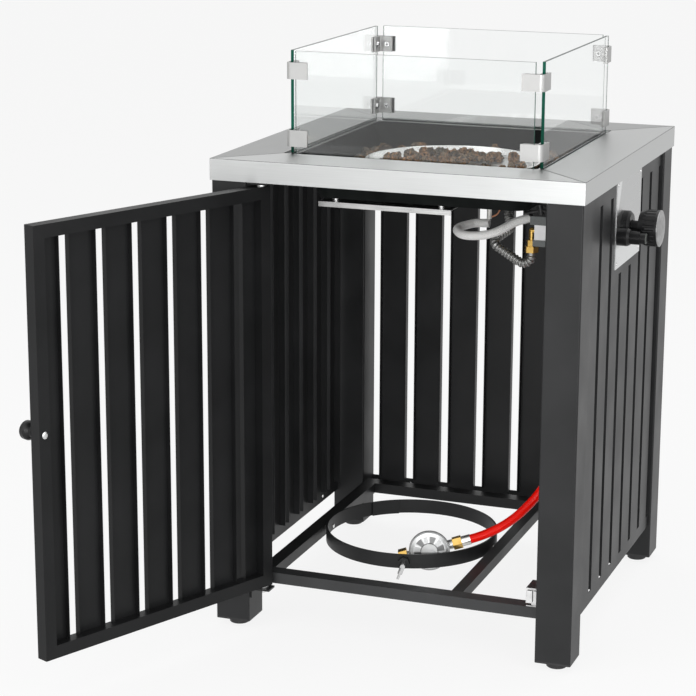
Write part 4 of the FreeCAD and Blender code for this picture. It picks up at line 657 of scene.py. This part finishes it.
FINISHES = (
    (make_tabletop_steel(), ("tabletop",)),
    (make_control_steel(), ("control_plate",)),
    (make_valve_casting(), ("gas_valve",)),
    (make_hose_fitting(), ("hose_fittings",)),
    (make_regulator_cover(), ("regulator_cover",)),
    (make_catch(), ("magnet_catch",)),
    (make_button(), ("igniter_button",)),
    (make_ceramic(), ("spark_electrode",)),
    (make_woven_fibre(), ("insulating_sleeve",)),
    (make_glass("pane_across_y", "Y"), ("glass_front", "glass_back")),
    (make_glass("pane_across_x", "X"), ("glass_right", "glass_left")),
    (brushed_steel, ("burner_plate", "heat_shield")),
    (rolled_steel, ("burner_bowl", "burner_tube")),
    (bright_steel, ("clamp_screw", "clamp_pad", "frame_screws", "door_pins", "shield_studs",
                    "plate_rivets", "clip_screws")),
    (pipe_steel, ("flexible_pipe",)),
    (shaded_bracket_steel, ("valve_bracket",)),
    (cap_steel, ("knob_cap",)),
    (satin_nickel, ("clip_outer_plates", "clip_inner_plates")),
    (bright_casting, ("regulator_body",)),
    (brass, ("valve_outlet", "regulator_nut")),
    (dull_brass, ("inlet_coupling",)),
    (copper, ("thermocouple_lead",)),
    (powder_coat, ("leg_front_left", "leg_front_right", "leg_back_left", "leg_back_right",
                   "back_panel", "left_panel", "right_panel", "back_rail", "left_rail", "cross_rail",
                   "cylinder_ring", "clamp_nut", "hinge_brackets")),
    (shaded_door_coat, ("door_frame", "door_slats")),
    (lit_rail_coat, ("front_rail",)),
    (lit_beam_coat, ("top_frame",)),
    (black_plastic, ("feet",)),
    (smooth_plastic, ("door_handle", "knob_bezel", "valve_stem", "control_knob", "igniter_body")),
    (pan_enamel, ("burner_pan",)),
    (rock, ("lava_rocks",)),
)


def dress(thing, material):
    thing.data.materials.clear()
    thing.data.materials.append(material)


for material, names in FINISHES:
    for name in names:
        dress(nodes[name], material)
dress(hose, make_hose_rubber())


def add_piece(name, shape, material, body, smooth=True):
    """A mesh of the scene, from a shape in metres, with its material and body."""
    data = bpy.data.meshes.new(name)
    shape.to_mesh(data)
    shape.free()
    if smooth:
        data.shade_smooth()
    piece = add_object(name, data)
    dress(piece, material)
    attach(piece, body)
    return piece


# Lava rocks: one layer on the perforated plate, and loose rocks beside the bowl

PLATE_TOP = 0.7324
PAN_FLOOR = 0.6972
PLATE_ROCKS = ((-0.078, 0.014, 0.020), (-0.066, 0.046, 0.023), (-0.040, 0.058, 0.024),
               (-0.004, 0.026, 0.024), (0.022, 0.044, 0.022), (0.053, 0.032, 0.022),
               (0.090, 0.044, 0.024), (-0.092, 0.040, 0.018), (-0.018, 0.072, 0.018),
               (0.060, 0.068, 0.016), (-0.050, 0.006, 0.024), (-0.102, 0.004, 0.020))
BARE_PATCH = ((0.018, -0.030), (0.098, 0.024))
SIDE_ROCKS = ((-0.163, 0.032, 0.744), (-0.160, -0.004, 0.740), (-0.158, 0.070, 0.740),
              (-0.152, 0.098, 0.745), (-0.130, 0.116, 0.738), (-0.106, 0.136, 0.746),
              (-0.138, 0.146, 0.736), (-0.080, 0.158, 0.735), (0.024, 0.164, 0.742),
              (0.050, 0.160, 0.732), (0.134, 0.122, 0.742), (0.150, 0.130, 0.744),
              (0.156, 0.142, 0.746), (0.124, 0.146, 0.738), (0.160, 0.104, 0.734),
              (-0.162, -0.060, 0.732), (0.162, -0.040, 0.730), (0.158, 0.030, 0.730),
              (-0.050, -0.161, 0.731), (0.060, -0.160, 0.732))
SIDE_ROCK_SIZES = (0.024, 0.029)
BED_DRAWS = 11
PILE_DRAWS = 23

# How many further rocks are tried on the plate, how far from its middle they may lie, and their size
FURTHER_ROCKS = ((60, (0.086, 0.118), (0.012, 0.017)), (150, (0.0, 0.100), (0.018, 0.024)),
                 (160, (0.0, 0.112), (0.010, 0.015)))

# Fineness and depth of each layer of a rock's unevenness
LUMPS = ((1.25, 0.36), (2.9, 0.20), (8.0, 0.10))
PIT_FINENESS = 3.2
PIT_REACH = 0.42
PIT_DEPTH = 0.16
CRAG_FINENESS = 5.0
CRAG_DEPTH = 0.16

# How a rock's seed sets its unevenness, its turn and its two shorter sides
SHIFT_FACTORS = (7.31, 3.17, 5.53)
TURN_FACTOR = 2.1
TURN_RISE = 0.7
WIDTH = 0.80
WIDTH_SPREAD = 0.14
WIDTH_FACTOR = 1.7
DEPTH = 0.68
DEPTH_SPREAD = 0.10
DEPTH_FACTOR = 2.3
BED_SEED_STEP = 1.37
PILE_FIRST_SEED = 90.0
PILE_SEED_STEP = 1.91

# Shares of a rock's size: how far it keeps from its neighbours, how high its middle lies above the
# plate or the pan and how far under the top of its pile, and the step from rock to rock in a pile
APART = 0.42
ABOVE_PLATE = 0.32
ABOVE_PAN = 0.36
UNDER_TOP = 0.42
PILE_STEP = 0.72

# How far aside a rock of a pile may lie
PILE_DRIFT = 0.002


def reach_of(way, shift):
    """How far a rock of radius one reaches in a direction: uneven, pitted and worn flat in places."""
    reach = 1
    for fineness, depth in LUMPS:
        reach += depth * noise.noise(way * fineness + shift)
    nearest = noise.voronoi(way * PIT_FINENESS + shift)[0][0]
    reach -= PIT_DEPTH * max(0.0, 1 - nearest / PIT_REACH)
    reach -= CRAG_DEPTH * abs(noise.noise(way * CRAG_FINENESS - shift))
    return reach


def add_rock(shape, place, size, seed):
    """One lump, with a shape of its own for each seed."""
    made = bmesh.ops.create_icosphere(shape, subdivisions=4, radius=1.0)
    shift = Vector(seed * factor for factor in SHIFT_FACTORS)
    axis = Vector((math.sin(seed), math.cos(seed), TURN_RISE))
    turn = Matrix.Rotation(seed * TURN_FACTOR, 3, axis)
    width = WIDTH + WIDTH_SPREAD * math.sin(seed * WIDTH_FACTOR)
    depth = DEPTH + DEPTH_SPREAD * math.cos(seed * DEPTH_FACTOR)
    sides = Vector((1.0, width, depth))
    for vertex in made["verts"]:
        way = vertex.co.normalized()
        point = Vector(a * b for a, b in zip(way * reach_of(way, shift), sides))
        vertex.co = Vector(place) + turn @ (point * (size / 2))


def far_from(spots, x, y, size):
    return all(math.hypot(x - other[0], y - other[1]) > APART * (size + other[2]) for other in spots)


def in_bare_patch(x, y):
    low, high = BARE_PATCH
    return low[0] < x < high[0] and low[1] < y < high[1]


def make_rock_bed():
    """The rocks that the photograph shows, then small ones near the rim, then the rest."""
    random.seed(BED_DRAWS)
    spots = list(PLATE_ROCKS)
    for tries, reaches, sizes in FURTHER_ROCKS:
        for _ in range(tries):
            reach = random.uniform(*reaches)
            angle = random.uniform(0, 2 * math.pi)
            size = random.uniform(*sizes)
            x = reach * math.cos(angle)
            y = reach * math.sin(angle)
            if far_from(spots, x, y, size) and not in_bare_patch(x, y):
                spots.append((x, y, size))
    shape = bmesh.new()
    for number, (x, y, size) in enumerate(spots):
        add_rock(shape, (x, y, PLATE_TOP + ABOVE_PLATE * size), size, BED_SEED_STEP * number)
    return add_piece("lava_bed", shape, rock, "table")


def make_side_rocks():
    """Piles beside the bowl, from the pan's floor up to the given heights."""
    random.seed(PILE_DRAWS)
    shape = bmesh.new()
    seed = PILE_FIRST_SEED
    for x, y, top in SIDE_ROCKS:
        size = random.uniform(*SIDE_ROCK_SIZES)
        height = top - size * UNDER_TOP
        while height > PAN_FLOOR:
            seed += PILE_SEED_STEP
            drift = random.uniform(-PILE_DRIFT, PILE_DRIFT)
            low = max(height, PAN_FLOOR + ABOVE_PAN * size)
            add_rock(shape, (x + drift, y - drift, low), size, seed)
            height -= PILE_STEP * size
    return add_piece("side_rocks", shape, rock, "table")


rock_bed = make_rock_bed()
side_rocks = make_side_rocks()
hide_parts("lava_rocks")
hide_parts("lava_rocks")


# Igniter leads, from the igniter to the sleeve, with the joint and the crimp on them

LEADS = {
    "igniter_lead_upper": (0.0042, [
        (0.1410, -0.0205, 0.6575), (0.1400, -0.0290, 0.6665), (0.1330, -0.0440, 0.6680),
        (0.1440, -0.0530, 0.6715), (0.1695, -0.0530, 0.6780), (0.2050, -0.0580, 0.6720),
        (0.2340, -0.0565, 0.6510), (0.2450, -0.0565, 0.6490)]),
    "igniter_lead_lower": (0.0034, [
        (0.1410, -0.0180, 0.6600), (0.1415, -0.0290, 0.6700), (0.1400, -0.0470, 0.6790),
        (0.1520, -0.0500, 0.6860), (0.1660, -0.0510, 0.6850), (0.1900, -0.0560, 0.6760),
        (0.2330, -0.0645, 0.6450), (0.2450, -0.0645, 0.6430)]),
    "lead_joint": (0.0085, [
        (0.1630, -0.0530, 0.6860), (0.1650, -0.0530, 0.6780), (0.1660, -0.0530, 0.6700)]),
    "lead_crimp": (0.0070, [
        (0.1400, -0.0490, 0.6830), (0.1450, -0.0500, 0.6840), (0.1510, -0.0510, 0.6850)]),
}
for name, (diameter, route) in LEADS.items():
    lead = tube_curve(name, route, diameter)
    dress(lead, black_plastic)
    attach(lead, "table")


# Painted shade in the cross recesses of the clip screws' heads, drawn as thin black bars

HEAD_FACE = 0.195
HEAD_ALONG = 0.18475
HEAD_HEIGHTS = (0.7933, 0.8993)
CROSS_LENGTH = 0.0058
CROSS_WIDTH = 0.0013
CROSS_PROUD = 0.00025


def make_painted_cross_shade():
    shape = bmesh.new()
    bars = ((CROSS_LENGTH, CROSS_WIDTH), (CROSS_WIDTH, CROSS_LENGTH))
    for quarter, side, height, (width, rise) in itertools.product(
            range(4), (-HEAD_ALONG, HEAD_ALONG), HEAD_HEIGHTS, bars):
        turn = Matrix.Rotation(quarter * math.pi / 2, 4, "Z")
        place = Matrix.Translation((side, HEAD_FACE, height))
        spread = Matrix.Diagonal((width, 2 * CROSS_PROUD, rise, 1))
        bmesh.ops.create_cube(shape, size=1.0, matrix=turn @ place @ spread)
    return add_piece("painted_cross_shade", shape, black_plastic, "wind_guard", smooth=False)


make_painted_cross_shade()


# Floor, world and lamps

FLOOR_REACH = 12.0
FLOOR_COLOUR = (0.80, 0.80, 0.80, 1)
FLOOR_WHITE = 0.86
WORLD_STRENGTH = 0.55

# Name, place, aim, size and power
LAMPS = (
    ("key", (-1.4, -2.8, 2.0), (0, 0, 0.45), (3.4, 2.8), 40),
    ("fill", (2.6, -1.6, 1.6), (0.1, 0, 0.4), (2.2, 2.0), 22),
    ("top", (0.2, 0.6, 2.8), (0, 0, 0.6), (2.6, 2.4), 20),
    ("front", (0.9, -3.2, 0.62), (0.05, 0, 0.5), (2.2, 1.1), 40),
)


def shine_white(source, strength):
    """Make a node that gives light white."""
    source.inputs["Color"].default_value = WHITE
    source.inputs["Strength"].default_value = strength
    return source.outputs[0]


def white_to_the_camera(tree, lit, white, share):
    """Mix a plain white over a surface for the rays that show the background."""
    path = tree.add("ShaderNodeLightPath")
    seen = path.outputs["Is Camera Ray"]
    for ray in ("Is Glossy Ray", "Is Transmission Ray"):
        seen = tree.math("MAXIMUM", seen, path.outputs[ray])
    mix = tree.add("ShaderNodeMixShader")
    tree.link(tree.math("MULTIPLY", seen, share), mix.inputs["Fac"])
    tree.link(lit, mix.inputs[1])
    tree.link(white, mix.inputs[2])
    return mix.outputs[0]


def make_floor():
    shape = bmesh.new()
    bmesh.ops.create_grid(shape, x_segments=2, y_segments=2, size=FLOOR_REACH)
    data = bpy.data.meshes.new("floor")
    shape.to_mesh(data)
    shape.free()
    floor = add_object("floor", data)
    finish = Finish("pale_floor", Base_Color=FLOOR_COLOUR, Roughness=0.9, Specular_IOR_Level=0.1)
    white = shine_white(finish.add("ShaderNodeEmission"), 1.0)
    mixed = white_to_the_camera(finish, finish.shader.outputs[0], white, FLOOR_WHITE)
    finish.link(mixed, finish.nodes["Material Output"].inputs["Surface"])
    dress(floor, finish.material)


def make_world():
    world = bpy.data.worlds.new("studio")
    world.use_nodes = True
    tree = Tree(world.node_tree)
    soft = shine_white(tree.nodes["Background"], WORLD_STRENGTH)
    white = shine_white(tree.add("ShaderNodeBackground"), 1.0)
    mixed = white_to_the_camera(tree, soft, white, 1.0)
    tree.link(mixed, tree.nodes["World Output"].inputs["Surface"])
    bpy.context.scene.world = world


def add_lamp(name, place, aim, size, power):
    data = bpy.data.lights.new(name, "AREA")
    data.shape = "RECTANGLE"
    data.size, data.size_y = size
    data.energy = power
    lamp = add_object(name, data)
    lamp.location = place
    way = Vector(aim) - Vector(place)
    lamp.rotation_euler = way.to_track_quat("-Z", "Y").to_euler()


make_floor()
make_world()
for lamp in LAMPS:
    add_lamp(*lamp)
